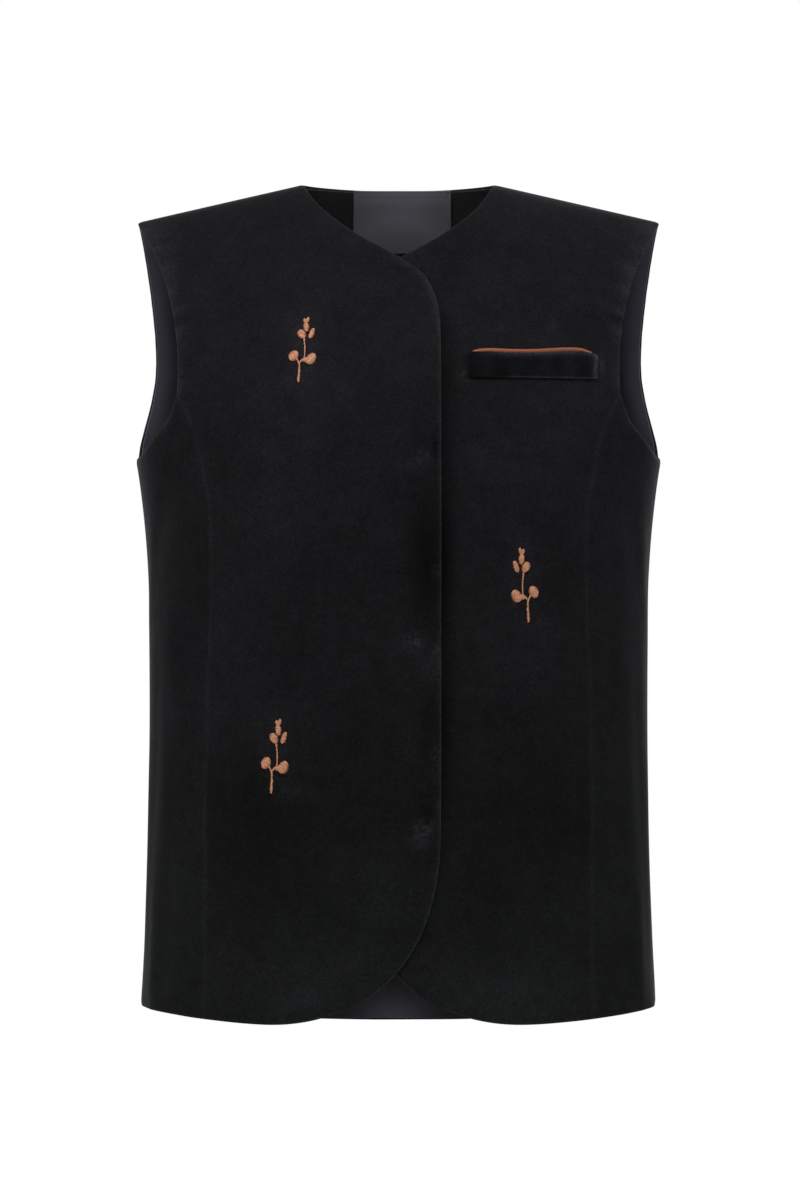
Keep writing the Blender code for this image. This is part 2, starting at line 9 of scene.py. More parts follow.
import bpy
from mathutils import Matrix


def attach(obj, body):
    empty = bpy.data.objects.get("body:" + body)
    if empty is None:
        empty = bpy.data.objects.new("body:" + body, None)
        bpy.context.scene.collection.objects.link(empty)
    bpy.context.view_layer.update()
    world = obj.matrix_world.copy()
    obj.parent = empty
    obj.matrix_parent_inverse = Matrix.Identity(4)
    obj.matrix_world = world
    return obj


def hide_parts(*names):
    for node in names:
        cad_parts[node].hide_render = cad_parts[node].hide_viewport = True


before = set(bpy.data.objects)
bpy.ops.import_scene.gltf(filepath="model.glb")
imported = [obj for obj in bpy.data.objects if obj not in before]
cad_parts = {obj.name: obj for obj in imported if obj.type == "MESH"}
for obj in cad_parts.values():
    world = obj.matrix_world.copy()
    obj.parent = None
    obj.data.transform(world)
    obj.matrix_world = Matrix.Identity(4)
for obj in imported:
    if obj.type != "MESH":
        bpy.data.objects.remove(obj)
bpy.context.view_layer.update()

from collections import namedtuple

import bpy
import numpy as np
from mathutils import Vector

MILLIMETRE = 0.001


def rows(kind, *table):
    """A table's rows, each with the names of its columns."""
    return tuple(kind(*row) for row in table)


# The form's sizes, as in the part's source
NECK_WIDTH = 0.154
SHOULDER_WIDTH = 0.4236
SHOULDER_DROP = 0.0324
UNDERARM = -0.207
HEM = -0.651
BACK_HEM_DROP = 0.0207
OVAL_POWER = 2.3
VELVET = 0.0020
LINING = 0.0010
LAYER_GAP = 0.0003
SEAM_OVERLAP = 0.00004
LAP_LIFT = VELVET + 0.0008
SHOULDER_ROUNDING = 0.055
NECK_RISE = 0.034
NECK_LIFT = 0.0010
TIP_LIFT = 0.0026
NECK_POINT = NECK_WIDTH / 2
SHOULDER_TIP = SHOULDER_WIDTH / 2
NECK_HEIGHT = SHOULDER_DROP / 2 + NECK_LIFT
TIP_HEIGHT = -SHOULDER_DROP / 2 + TIP_LIFT
SHOULDER_SLOPE = (NECK_HEIGHT - TIP_HEIGHT) / (SHOULDER_TIP - NECK_POINT)
VELVET_LAYER = (0.0, -VELVET)
LINING_LAYER = (-VELVET - LAYER_GAP, -VELVET - LAYER_GAP - LINING)

Section = namedtuple("Section", "height half_width front_depth back_depth")
SECTIONS = rows(
    Section,
    (-0.700, 0.2090, 0.113, 0.098), (-0.651, 0.2086, 0.112, 0.096),
    (-0.600, 0.2062, 0.111, 0.093), (-0.520, 0.2032, 0.110, 0.089),
    (-0.440, 0.2020, 0.111, 0.086), (-0.360, 0.2021, 0.115, 0.086),
    (-0.300, 0.2029, 0.121, 0.089), (-0.250, 0.2068, 0.126, 0.093),
    (-0.207, 0.2128, 0.126, 0.095), (-0.190, 0.2162, 0.123, 0.095),
    (-0.150, 0.2260, 0.111, 0.093), (-0.100, 0.2340, 0.089, 0.086),
    (-0.050, 0.2350, 0.064, 0.073), (0.016, 0.2350, 0.037, 0.052),
    (0.060, 0.2350, 0.030, 0.046),
)

# Edges of the pattern pieces, as distance out from the centre line at each height
EdgePoint = namedtuple("EdgePoint", "height out")
NECK_AND_FRONT_EDGE = rows(
    EdgePoint,
    (-0.1200, -0.0332), (-0.0933, -0.0319), (-0.0776, -0.0282), (-0.0617, -0.0192),
    (-0.0481, -0.0008), (-0.0327, 0.0265), (-0.0103, 0.0572), (0.0070, 0.0714),
    (NECK_HEIGHT, NECK_POINT),
)
FRONT_ARMHOLE = rows(
    EdgePoint,
    (-0.1560, 0.1757), (-0.1395, 0.1755), (-0.1137, 0.1767), (-0.0875, 0.1811),
    (-0.0626, 0.1882), (-0.0378, 0.1982), (TIP_HEIGHT, SHOULDER_TIP),
)
LOWER_FRONT_ARMHOLE = rows(
    EdgePoint,
    (-0.1560, 0.1757), (-0.1751, 0.1829), (-0.1866, 0.1914), (-0.1967, 0.2009),
    (-0.2040, 0.2075),
)
BACK_ARMHOLE = rows(
    EdgePoint,
    (UNDERARM, 0.2128), (-0.1957, 0.2124), (-0.1753, 0.2086), (-0.1550, 0.2042),
    (-0.1350, 0.2014), (-0.1151, 0.2012), (-0.0759, 0.2042), (-0.0471, 0.2076),
    (TIP_HEIGHT, SHOULDER_TIP),
)
FRONT_SEAM = rows(
    EdgePoint,
    (HEM, 0.1540), (-0.5500, 0.1528), (-0.4600, 0.1525), (-0.3660, 0.1506),
    (-0.3100, 0.1477), (-0.2750, 0.1479), (-0.2412, 0.1498), (-0.2073, 0.1562),
    (-0.1780, 0.1648), (-0.1560, 0.1757),
)

# Where the curved seam meets the armhole, where a section's side seam is, as an angle round it, and
# the radius of a round body with the same quarter turn
JUNCTION = -0.156
SIDE_SEAM_ANGLE = 0.0
BODY_RADIUS = 0.169

# The straight edge of a front, out from the centre line, and its rounded lower corner
LAP_EDGE = 0.0332
CUTAWAY_TOP = -0.490
CUTAWAY_INNER = 0.110
CUTAWAY_POWER = 2.5
UNDER_CUTAWAY_POWER = 2.7
CUTAWAY_WIDE = CUTAWAY_INNER + LAP_EDGE
CUTAWAY_TALL = CUTAWAY_TOP - HEM
CUTAWAY_CORNER = -0.632

# The lap, and the fasteners hidden under it
LAP_CLIMB = (-0.085, -0.045)
FASTENER_HEIGHTS = (-0.488, -0.351, -0.212, -0.070)
EDGE_BULGE = 0.0020
BULGE_REACH = (-0.030, 0.030)
DIMPLE_OUT = 0.024
DIMPLE_HALF_WIDTH = 0.013
DIMPLE_HALF_HEIGHT = 0.016
DIMPLE_DEPTH = 0.0016

# The inside of the back: where its lining, neck facing and label begin and end
HEM_CURVE_POWER = 2.5
LINING_HALF_WIDTH = 0.2112
LINING_TOP_ARC = np.radians(3)
LINING_FOOT = -0.6496
FACING_HALF_WIDTH = 0.118
FACING_FOOT = -0.093
LABEL_HALF_WIDTH = 0.0416
LABEL_SHIFT = 0.0031
LABEL_FOOT_HEIGHT = -0.0280
LABEL_TOP_RISE = 0.0020

# Breast pocket
WELT_INNER = 0.0540
WELT_OUTER = 0.1566
WELT_TOP = -0.1255
WELT_BOTTOM = -0.1461
WELT_CORNER = 0.006
WELT_CORNER_DROP = 0.0042
WELT_CLOTH = 0.0018
LIP_SHOWS = 0.0035
LIP_TUCK = 0.005
LIP_INSET = 0.004
LIP_CLOTH = 0.0010
LipPoint = namedtuple("LipPoint", "share rise")
LIP_LINE = rows(
    LipPoint,
    (0.00, -0.0026), (0.04, -0.0013), (0.10, -0.0006), (0.32, -0.0009), (0.53, -0.0007),
    (0.67, 0.0003), (0.82, 0.0010), (0.92, 0.0004), (1.00, -0.0024),
)

# Sprigs
SprigPlace = namedtuple("SprigPlace", "name out height turned tall")
SPRIGS = rows(
    SprigPlace,
    ("sprig_right_chest", -0.0755, -0.1230, 1, 0.935),
    ("sprig_left_waist", 0.0990, -0.3077, -1, 0.965),
    ("sprig_right_hip", -0.0970, -0.4420, 1, 0.965),
)
Leaf = namedtuple("Leaf", "across up half_length half_width lean")
SPRIG_LEAVES = rows(
    Leaf,
    (-0.0069, -0.0062, 0.0051, 0.0044, 52), (0.0071, -0.0096, 0.0055, 0.0044, 57),
    (0.0034, -0.0103, 0.0038, 0.0027, 14), (-0.0006, 0.0142, 0.0044, 0.0038, 95),
    (0.0074, 0.0144, 0.0053, 0.0025, 70), (0.0029, 0.0206, 0.0045, 0.0027, 92),
    (0.0022, 0.0262, 0.0030, 0.0020, 108), (0.0037, 0.0267, 0.0034, 0.0019, 74),
)
StemPoint = namedtuple("StemPoint", "across up half_width")
SPRIG_STEMS = (
    rows(StemPoint, (-0.0028, -0.0306, 0.0009), (-0.0027, -0.0268, 0.0013),
         (-0.0024, -0.0228, 0.0010), (-0.0021, -0.0153, 0.0009), (-0.0024, -0.0123, 0.0010)),
    rows(StemPoint, (-0.0024, -0.0132, 0.0008), (-0.0034, -0.0112, 0.0007),
         (-0.0046, -0.0086, 0.0008)),
    rows(StemPoint, (-0.0024, -0.0132, 0.0008), (-0.0006, -0.0106, 0.0008),
         (0.0022, -0.0090, 0.0010)),
    rows(StemPoint, (0.0015, -0.0098, 0.0008), (0.0021, -0.0031, 0.0006),
         (0.0020, 0.0026, 0.0006), (0.0014, 0.0080, 0.0008), (0.0014, 0.0116, 0.0008)),
)
THREAD_PITCH = 0.00040
THREAD_RADIUS = 0.00026
THREAD_SLANT = 0.22
THREAD_UNEVEN = 0.00036
THREAD_STATIONS = 7
THREAD_SIDES = 6

# Fineness of the cloth grids, and the points where an edge turns over, as distances from it
FRONT_CELL = 0.0022
SIDE_CELL = 0.0024
BACK_CELL = 0.0030
LINING_CELL = 0.0036
FACING_CELL = 0.0035
LABEL_CELL = 0.0012
TRIM_CELL = 0.0011
LIP_CELL = 0.0005
RIM = np.array([0.0, 0.10, 0.35, 0.70, 1.10]) * MILLIMETRE
SHOULDER_DEPTH = 0.034
SHOULDER_ROWS = 30

# How far the fronts' cloth hangs lower where its hem dips, and higher where it rises at the side
# seam: how much, how far out and half how wide, and the height where both begin
HemBend = namedtuple("HemBend", "drop out half_width")
HEM_BENDS = rows(HemBend, (0.0026, 0.098, 0.048), (-0.0036, 0.215, 0.045))
HEM_BEND_TOP = -0.590

# The cloth's low relief: how far an edge rolls in, the ripple of a seam and its reach, and how wide
# the lighter line is over an edge, where the pile opens and a painted highlight stands in for its sheen
EDGE_ROLL = 0.0009
HEM_ROLL = 0.0006
SEAM_RIPPLE = 0.00022
SEAM_REACH = 0.005
EDGE_HIGHLIGHT_WIDTH = 0.0011

# Soft creases of the cloth: where each one's middle is, its half length and half width, how high it
# stands (a trough is below nought), and how far it leans from upright, in degrees
Crease = namedtuple("Crease", "across height half_length half_width rise lean")
FRONT_CREASES = rows(
    Crease,
    (0.062, -0.040, 0.045, 0.016, -0.0009, 38),
    (-0.070, -0.050, 0.050, 0.015, -0.0008, -41),
    (0.118, -0.062, 0.040, 0.012, 0.0007, 24),
    (-0.124, -0.070, 0.046, 0.013, 0.0008, -27),
    (0.135, -0.205, 0.050, 0.014, -0.0010, -52),
    (-0.128, -0.215, 0.055, 0.015, -0.0011, 47),
    (0.105, -0.238, 0.045, 0.013, 0.0008, -63),
    (-0.095, -0.250, 0.040, 0.012, 0.0007, 58),
    (0.070, -0.292, 0.060, 0.017, -0.0008, -12),
    (-0.060, -0.318, 0.070, 0.018, -0.0010, 9),
    (0.120, -0.372, 0.075, 0.016, 0.0010, 6),
    (-0.112, -0.392, 0.090, 0.017, 0.0011, -5),
    (0.090, -0.455, 0.085, 0.020, -0.0011, 4),
    (-0.074, -0.480, 0.080, 0.019, -0.0010, -7),
    (0.128, -0.545, 0.080, 0.015, 0.0011, -3),
    (-0.128, -0.560, 0.075, 0.016, 0.0010, 5),
    (-0.096, -0.600, 0.060, 0.014, -0.0009, -2),
    (0.100, -0.605, 0.055, 0.013, -0.0010, 3),
    (-0.040, -0.545, 0.070, 0.016, 0.0009, 6),
)
SIDE_CREASES = rows(
    Crease,
    (0.190, -0.262, 0.040, 0.014, -0.0011, -34),
    (0.222, -0.300, 0.048, 0.012, 0.0009, -22),
    (0.172, -0.365, 0.070, 0.014, 0.0008, 5),
    (0.212, -0.430, 0.085, 0.015, -0.0011, -4),
    (0.240, -0.520, 0.075, 0.012, 0.0009, 3),
    (0.178, -0.560, 0.080, 0.013, -0.0009, -2),
    (0.205, -0.605, 0.055, 0.012, 0.0011, 2),
)
BACK_CREASES = rows(
    Crease,
    (-0.030, -0.060, 0.060, 0.022, 0.0010, 64),
    (0.052, -0.085, 0.050, 0.018, -0.0009, -58),
    (0.140, -0.118, 0.060, 0.016, -0.0013, -36),
    (-0.132, -0.125, 0.055, 0.017, -0.0012, 33),
    (0.158, -0.225, 0.070, 0.018, 0.0014, -28),
    (-0.166, -0.238, 0.060, 0.016, 0.0013, 31),
    (0.092, -0.262, 0.080, 0.022, -0.0014, -9),
    (-0.078, -0.285, 0.090, 0.021, -0.0015, 7),
    (0.010, -0.330, 0.080, 0.020, 0.0012, 2),
    (0.190, -0.350, 0.085, 0.017, -0.0013, -6),
    (-0.192, -0.372, 0.080, 0.018, -0.0012, 8),
    (0.125, -0.430, 0.100, 0.021, 0.0016, 4),
    (-0.118, -0.448, 0.110, 0.022, 0.0015, -3),
    (0.048, -0.510, 0.110, 0.020, -0.0016, 2),
    (-0.046, -0.530, 0.100, 0.021, -0.0015, -4),
    (0.205, -0.540, 0.090, 0.016, 0.0013, 2),
    (-0.210, -0.555, 0.085, 0.017, 0.0014, -3),
    (0.160, -0.592, 0.060, 0.015, -0.0014, 3),
    (-0.162, -0.605, 0.055, 0.014, -0.0013, -2),
    (0.000, -0.612, 0.050, 0.017, 0.0013, 1),
)
LINING_CREASES = rows(
    Crease,
    (0.196, -0.120, 0.050, 0.010, 0.0010, -10),
    (-0.190, -0.132, 0.055, 0.011, 0.0011, 12),
    (0.150, -0.240, 0.080, 0.013, 0.0014, -14),
    (-0.155, -0.255, 0.085, 0.014, 0.0013, 11),
    (0.060, -0.330, 0.100, 0.015, 0.0015, 5),
    (-0.035, -0.372, 0.110, 0.014, 0.0014, -6),
    (-0.120, -0.470, 0.110, 0.014, 0.0016, -3),
    (0.130, -0.500, 0.100, 0.013, 0.0015, 4),
    (0.020, -0.570, 0.080, 0.012, 0.0014, 2),
    (-0.080, -0.610, 0.045, 0.010, 0.0012, -4),
    (0.088, -0.618, 0.040, 0.009, 0.0012, 3),
)

# A record for a cloth piece's cut, laid flat: its longest row and column, and its area, along its own
# grid, and what it rests on; nothing here fills it in
Cut = namedtuple("Cut", "width length area rests_on")

# Puckers along a seam or an armhole: how far along it from its top, half length, reach from the
# edge and rise
Pucker = namedtuple("Pucker", "along half_length reach rise")
ARMHOLE_PUCKERS = rows(
    Pucker,
    (0.020, 0.0050, 0.011, 0.00016), (0.036, 0.0036, 0.014, -0.00012),
    (0.045, 0.0040, 0.008, 0.00022), (0.054, 0.0030, 0.006, -0.00014),
    (0.067, 0.0056, 0.013, 0.00020), (0.081, 0.0035, 0.009, -0.00018),
    (0.088, 0.0032, 0.007, 0.00024), (0.097, 0.0052, 0.011, -0.00012),
    (0.108, 0.0038, 0.014, 0.00026), (0.115, 0.0030, 0.007, -0.00020),
    (0.124, 0.0036, 0.010, 0.00026), (0.137, 0.0060, 0.012, -0.00014),
    (0.147, 0.0030, 0.008, 0.00020), (0.158, 0.0040, 0.010, -0.00012),
    (0.171, 0.0056, 0.009, 0.00018), (0.188, 0.0040, 0.007, -0.00012),
    (0.203, 0.0050, 0.009, 0.00015),
)

# Marks that make the pile's colour lighter or darker: middle, half sizes and how much lighter or
# darker. Broad ones are soft patches, some of them painted shade and painted light, as their rows say;
# crushed ones are small and flecked.
Mark = namedtuple("Mark", "across height half_across half_up lighter")
BROAD_PATCHES_AND_PAINTED_LIGHT = rows(
    Mark,
    # painted shade along the upper front's edge, where it bulges between the fasteners
    (0.0290, -0.2040, 0.0030, 0.0120, -0.60),
    (0.0220, -0.2860, 0.0150, 0.0600, -0.58),
    (0.0250, -0.4150, 0.0100, 0.0430, -0.35),
    (0.0235, -0.4880, 0.0080, 0.0100, -0.40),
    # painted shade: the lower fronts darker, as the light from above falls off
    (-0.1250, -0.4950, 0.0600, 0.0600, -0.30),
    (0.1150, -0.4950, 0.0650, 0.0600, -0.25),
    (-0.0350, -0.4700, 0.0500, 0.0700, -0.12),
    # soft patches, lighter and darker
    (-0.0150, -0.5600, 0.0300, 0.0420, 0.22),
    (0.0720, -0.5600, 0.0200, 0.0500, -0.16),
    # painted light: the fronts lighter just above the hem, as if lit from below
    (0.0800, -0.6250, 0.0600, 0.0280, 0.30),
    (-0.0900, -0.6250, 0.0700, 0.0280, 0.25),
    # soft patches, lighter and darker
    (-0.0900, -0.2600, 0.0500, 0.0600, 0.14),
    (0.0950, -0.2200, 0.0500, 0.0400, 0.10),
    (-0.1450, -0.3600, 0.0200, 0.0900, 0.18),
    (-0.0620, -0.1250, 0.0060, 0.0160, -0.20),
    (-0.1850, -0.0800, 0.0090, 0.0420, 0.60),
    (0.1850, -0.0800, 0.0090, 0.0420, 0.50),
    (-0.2020, -0.0260, 0.0120, 0.0120, 0.80),
    (0.2020, -0.0260, 0.0120, 0.0120, 0.80),
)
CRUSHED_MARKS = rows(
    Mark,
    (0.0190, -0.2110, 0.0075, 0.0085, 0.42),
    (0.0060, -0.2150, 0.0090, 0.0040, 0.20),
    (0.0120, -0.3530, 0.0110, 0.0075, 0.58),
    (0.0300, -0.3600, 0.0022, 0.0090, 0.50),
    (0.0240, -0.3760, 0.0080, 0.0130, 0.36),
    (0.0200, -0.4980, 0.0085, 0.0065, 0.58),
    (0.0160, -0.5090, 0.0070, 0.0080, 0.45),
    (0.0290, -0.4420, 0.0040, 0.0130, 0.40),
    (0.0290, -0.2980, 0.0035, 0.0050, 0.25),
    (-0.0880, -0.1480, 0.0060, 0.0060, 0.15),
    (0.1120, -0.3360, 0.0100, 0.0050, 0.25),
    (-0.0840, -0.4700, 0.0090, 0.0060, 0.25),
    (0.0520, -0.1440, 0.0050, 0.0055, 0.45),
    (0.1605, -0.1340, 0.0022, 0.0090, 0.45),
    (0.1220, -0.1030, 0.0030, 0.0050, 0.20),
    (-0.1800, -0.1420, 0.0060, 0.0130, 0.60),
    (0.1800, -0.1380, 0.0060, 0.0120, 0.50),
)


def smooth(points, at):
    """A smooth curve through a table's (height, value) points, read at the heights given.

    Between two points it is the cubic that keeps a gentle slope at both.
    """
    heights, values = np.array(points, float).T
    if heights[0] > heights[-1]:
        heights, values = heights[::-1], values[::-1]
    at = np.clip(at, heights[0], heights[-1])
    slopes = np.gradient(values, heights)
    i = np.clip(np.searchsorted(heights, at) - 1, 0, len(heights) - 2)
    step = heights[i + 1] - heights[i]
    t = (at - heights[i]) / step
    return (
        values[i] * (2 * t**3 - 3 * t**2 + 1)
        + slopes[i] * step * (t**3 - 2 * t**2 + t)
        + values[i + 1] * (3 * t**2 - 2 * t**3)
        + slopes[i + 1] * step * (t**3 - t**2)
    )


def section(name, height):
    """One column of the table of sections, at any height."""
    return smooth([(s.height, getattr(s, name)) for s in SECTIONS], height)


def section_and_slope(name, height, nudge=1e-5):
    """A column of the table of sections, and how fast it changes with height."""
    change = section(name, height + nudge) - section(name, height - nudge)
    return section(name, height), change / (2 * nudge)


def ridge(x):
    """Height of the shoulder ridge at a distance across, and its slope there: straight from the
    shoulder tip to the neck, then a cubic that is level at the middle."""
    out = np.abs(x)
    inward = np.clip(1 - out / NECK_POINT, 0, 1)
    first = SHOULDER_SLOPE
    third = first - 2 * NECK_RISE / NECK_POINT
    second = NECK_RISE / NECK_POINT - first - third
    height = NECK_HEIGHT - np.maximum(out - NECK_POINT, 0) * SHOULDER_SLOPE
    height = height + NECK_POINT * (first * inward + second * inward**2 + third * inward**3)
    slope = first + 2 * second * inward + 3 * third * inward**2
    return height, -slope * np.sign(x)


def on_form(x, z, side):
    """Points of the form and their outward normals; side is "front" or "back".

    Depth squared is the section's depth squared, times the oval's share at this width, times
    the shoulder's rounding. The normal is the gradient of that rule.
    """
    x, z = np.broadcast_arrays(np.asarray(x, float), np.asarray(z, float))
    half_width, width_slope = section_and_slope("half_width", z)
    deep, deep_slope = section_and_slope(side + "_depth", z)

    share = np.clip(np.abs(x) / half_width, 0, 1)
    left = np.maximum(1 - share**OVAL_POWER, 1e-12)
    oval = left ** (2 / OVAL_POWER)
    steep = 2 * left ** (2 / OVAL_POWER - 1) * share ** (OVAL_POWER - 1)
    oval_x = -steep * np.sign(x) / half_width
    oval_z = steep * share * width_slope / half_width

    top, top_slope = ridge(x)
    below = np.clip((top - z) / SHOULDER_ROUNDING, 0, 1)
    rounding = 1 - (1 - below) ** 2
    rounding_rate = 2 * (1 - below) / SHOULDER_ROUNDING

    front = -1 if side == "front" else 1
    y = front * deep * np.sqrt(oval * rounding)
    normal = np.stack(
        [
            -(deep**2) * (oval_x * rounding + oval * rounding_rate * top_slope),
            2 * y,
            -2 * deep * deep_slope * oval * rounding
            - deep**2 * (oval_z * rounding - oval * rounding_rate),
        ],
        axis=-1,
    )
    normal /= np.linalg.norm(normal, axis=-1, keepdims=True)
    return np.stack([x, y, z], axis=-1), normal


def across_at(angle, z):
    """Distance out of the point of a section at an angle round it, where 0 is the side seam."""
    return section("half_width", z) * np.cos(angle) ** (2 / OVAL_POWER)


def angle_at(out, z):
    """The angle round a section of the point at this distance out."""
    return np.arccos(np.clip(out / section("half_width", z), 0, 1) ** (OVAL_POWER / 2))


def round_the_body(x, z):
    """Distance round the body from its centre line, near enough: a quarter turn is 0.266 m."""
    return np.sign(x) * BODY_RADIUS * (np.pi / 2 - angle_at(np.abs(x), z))


def front_edge(z, power=CUTAWAY_POWER):
    """Distance out of a front's inner edge: neckline, straight edge, then the rounded corner."""
    upper = smooth(NECK_AND_FRONT_EDGE, z)
    drop = np.clip((CUTAWAY_TOP - z) / CUTAWAY_TALL, 0, 1)
    corner = CUTAWAY_INNER - CUTAWAY_WIDE * (1 - drop**power) ** (1 / power)
    return np.where(z < CUTAWAY_TOP, corner, upper)


def front_hem(out, power=CUTAWAY_POWER):
    """Height of a front's lower edge: the last of the rounded corner, then the level hem."""
    reach = np.clip((CUTAWAY_INNER - out) / CUTAWAY_WIDE, 0, 1)
    return CUTAWAY_TOP - CUTAWAY_TALL * (1 - reach**power) ** (1 / power)


def hem_dip(x, z):
    """How far the fronts' cloth hangs lower at this place: it dips before the side seam and rises
    at it, over the last 60 mm."""
    dip = sum(bend.drop * bell(np.abs(x) - bend.out, bend.half_width) for bend in HEM_BENDS)
    return -dip * np.clip((HEM_BEND_TOP - z) / (HEM_BEND_TOP - HEM), 0, 1) ** 2


def lap_lift(x, z):
    """How far the upper front stands off the form, as it climbs over the lower one and stands
    proud between the fasteners."""
    climb = np.clip((x - LAP_CLIMB[0]) / (LAP_CLIMB[1] - LAP_CLIMB[0]), 0, 1)
    near_edge = np.clip((x - BULGE_REACH[0]) / (BULGE_REACH[1] - BULGE_REACH[0]), 0, 1)
    between = np.interp(z, FASTENER_HEIGHTS, range(len(FASTENER_HEIGHTS)))
    bulge = EDGE_BULGE * near_edge**2 * np.sin(np.pi * between) ** 2
    return LAP_LIFT * climb**2 * (3 - 2 * climb) + bulge


def creased(creases, across, z):
    """The lift of all creases at these places: each is its rise times two bell curves, a narrow
    one across it and a flatter-topped one along it."""
    lift = np.zeros(np.broadcast(across, z).shape)
    for crease in creases:
        lean = np.radians(crease.lean)
        dx, dz = across - crease.across, z - crease.height
        along = (dz * np.cos(lean) + dx * np.sin(lean)) / crease.half_length
        off = (dx * np.cos(lean) - dz * np.sin(lean)) / crease.half_width
        lift += crease.rise * np.exp(-(off**2) - along**4)
    return lift


def puckered(puckers, along, off):
    """The lift of the puckers of an edge: a bell along the edge, fading away from it."""
    lift = np.zeros(np.broadcast(along, off).shape)
    for pucker in puckers:
        near = np.exp(-(((along - pucker.along) / pucker.half_length) ** 2))
        lift += pucker.rise * near * np.exp(-((off / pucker.reach) ** 2))
    return lift


def seam_wave(z):
    """An uneven wave along a seam: two waves 9 and 14 mm long whose spacing drifts."""
    drift = 1.8 * np.sin(z / 0.017)
    return 0.6 * np.sin(2 * np.pi * z / 0.0091 + drift) + 0.4 * np.sin(2 * np.pi * z / 0.0143 - drift)


def seam_ripple(distance, z):
    """The ripple beside a seam: its wave, fading away from it, and none on the seam itself."""
    return SEAM_RIPPLE * seam_wave(z) * bell(distance, SEAM_REACH) * fade(distance, 0.001)


def marked(marks, across, z):
    """How much lighter or darker the colour is made at these places, with painted light and shade among
    the broad marks: each mark is a bell over its half sizes.
    """
    lighter = np.zeros(np.broadcast(across, z).shape)
    for mark in marks:
        off = ((across - mark.across) / mark.half_across) ** 2 + ((z - mark.height) / mark.half_up) ** 2
        lighter += mark.lighter * np.exp(-off)
    return lighter


def crushed(x, z):
    """How crushed the fronts' pile is: the table's marks, and a little round each sprig."""
    crush = marked(CRUSHED_MARKS, x, z)
    for place in SPRIGS:
        off = ((x - place.out) / 0.014) ** 2 + ((z - place.height) / 0.034) ** 2
        crush += 0.22 * np.exp(-(off**2))
    return crush


def uneven(along):
    """A share that comes and goes along an edge, about every 50 mm and unevenly."""
    return 0.5 + 0.5 * np.sin(along / 0.0085 + 2.2 * np.sin(along / 0.023))


def bell(distance, reach):
    """A bell curve: 1 at nought, and nearly gone at twice its reach."""
    return np.exp(-((distance / reach) ** 2))


def nearest(*distances):
    """The least of several distances, point by point."""
    return np.minimum.reduce(np.broadcast_arrays(*distances))


def rolled_in(distance, depth, reach=0.0045):
    """How far cloth rolls in at an edge: its depth there, less by the square of the share of its
    reach away from it."""
    return depth * (1 - np.clip(distance / reach, 0, 1)) ** 2


def fade(distance, reach):
    """0 at an edge, 1 from its reach on, level at both."""
    t = np.clip(distance / reach, 0, 1)
    return t * t * (3 - 2 * t)


def front_relief(x, z):
    """Lift of both fronts where they lap, so that they stay clear of each other: the creases, and
    a round dimple over each fastener."""
    dimples = np.zeros(np.broadcast(x, z).shape)
    for height in FASTENER_HEIGHTS[:3]:
        off = ((x - DIMPLE_OUT) / DIMPLE_HALF_WIDTH) ** 2 + ((z - height) / DIMPLE_HALF_HEIGHT) ** 2
        dimples -= DIMPLE_DEPTH * np.exp(-off)
    return dimples + creased(FRONT_CREASES, x, z)


def back_relief(x, z):
    """Lift of every layer of the back by its creases, which fade towards its seams, its armholes
    and the neck."""
    around = round_the_body(x, z)
    edge = np.where(z > UNDERARM, smooth(BACK_ARMHOLE, z), section("half_width", z))
    to_side = round_the_body(edge, z) - np.abs(around)
    below_top = np.minimum(ridge(x)[0], NECK_HEIGHT) - z
    return 1.3 * creased(BACK_CREASES, around, z) * fade(to_side - 0.002, 0.018) * fade(below_top, 0.03)


def between_edges(left, right, top, bottom, u, v):
    """A patch between four edge curves at shares u across and v down: the two ruled surfaces
    between facing edges, added, less the one between the corners."""
    nought, one = np.zeros(1), np.ones(1)
    c, r = u[..., None], v[..., None]
    sides = (1 - c) * left(v) + c * right(v)
    ends = (1 - r) * top(u) + r * bottom(u)
    corners = (1 - r) * ((1 - c) * top(nought) + c * top(one))
    corners = corners + r * ((1 - c) * bottom(nought) + c * bottom(one))
    return sides + ends - corners


def shares(length, cell):
    """Shares of a length for a row of points: close together where each end turns over, and about
    a cell apart between. It is returned as a fixed part and a part to divide by the length."""
    count = max(int(round((length - 2 * RIM[-1]) / cell)), 2)
    middle = np.linspace(0, 1, count + 1)[1:-1]
    fixed = np.concatenate([np.zeros(len(RIM)), middle, np.ones(len(RIM))])
    scaled = np.concatenate([RIM, RIM[-1] * (1 - 2 * middle), -RIM[::-1]])
    return fixed, scaled


def row_of(length, cell):
    """Shares along one row of this length."""
    fixed, scaled = shares(length, cell)
    return fixed + scaled / length


def rows_down(cell):
    """Shares down a panel that goes over the shoulder: rows close together at the shoulder seam,
    then by equal angles round the shoulder, then level rows to the hem, close together there."""
    tall = TIP_HEIGHT - HEM
    turned = SHOULDER_ROUNDING / tall
    rim = RIM / SHOULDER_DEPTH
    arcs = np.concatenate([rim, np.linspace(rim[-1], np.pi / 2, SHOULDER_ROWS)[1:]])
    body = np.linspace(turned, 1 - RIM[-1] / tall, int(tall * (1 - turned) / cell))[1:]
    return np.concatenate([turned * (1 - np.cos(arcs)), body, 1 - RIM[-2::-1] / tall])


def lengths(points):
    """Distance of each point of a grid from its row's start, along the row, and from its column's
    top, down the column."""
    steps = np.linalg.norm(np.diff(points, axis=1), axis=-1)
    across = np.concatenate([np.zeros((len(points), 1)), np.cumsum(steps, axis=1)], axis=1)
    steps = np.linalg.norm(np.diff(points, axis=0), axis=-1)
    down = np.concatenate([np.zeros((1, points.shape[1])), np.cumsum(steps, axis=0)], axis=0)
    return across, down


Distances = namedtuple("Distances", "left right top bottom down")


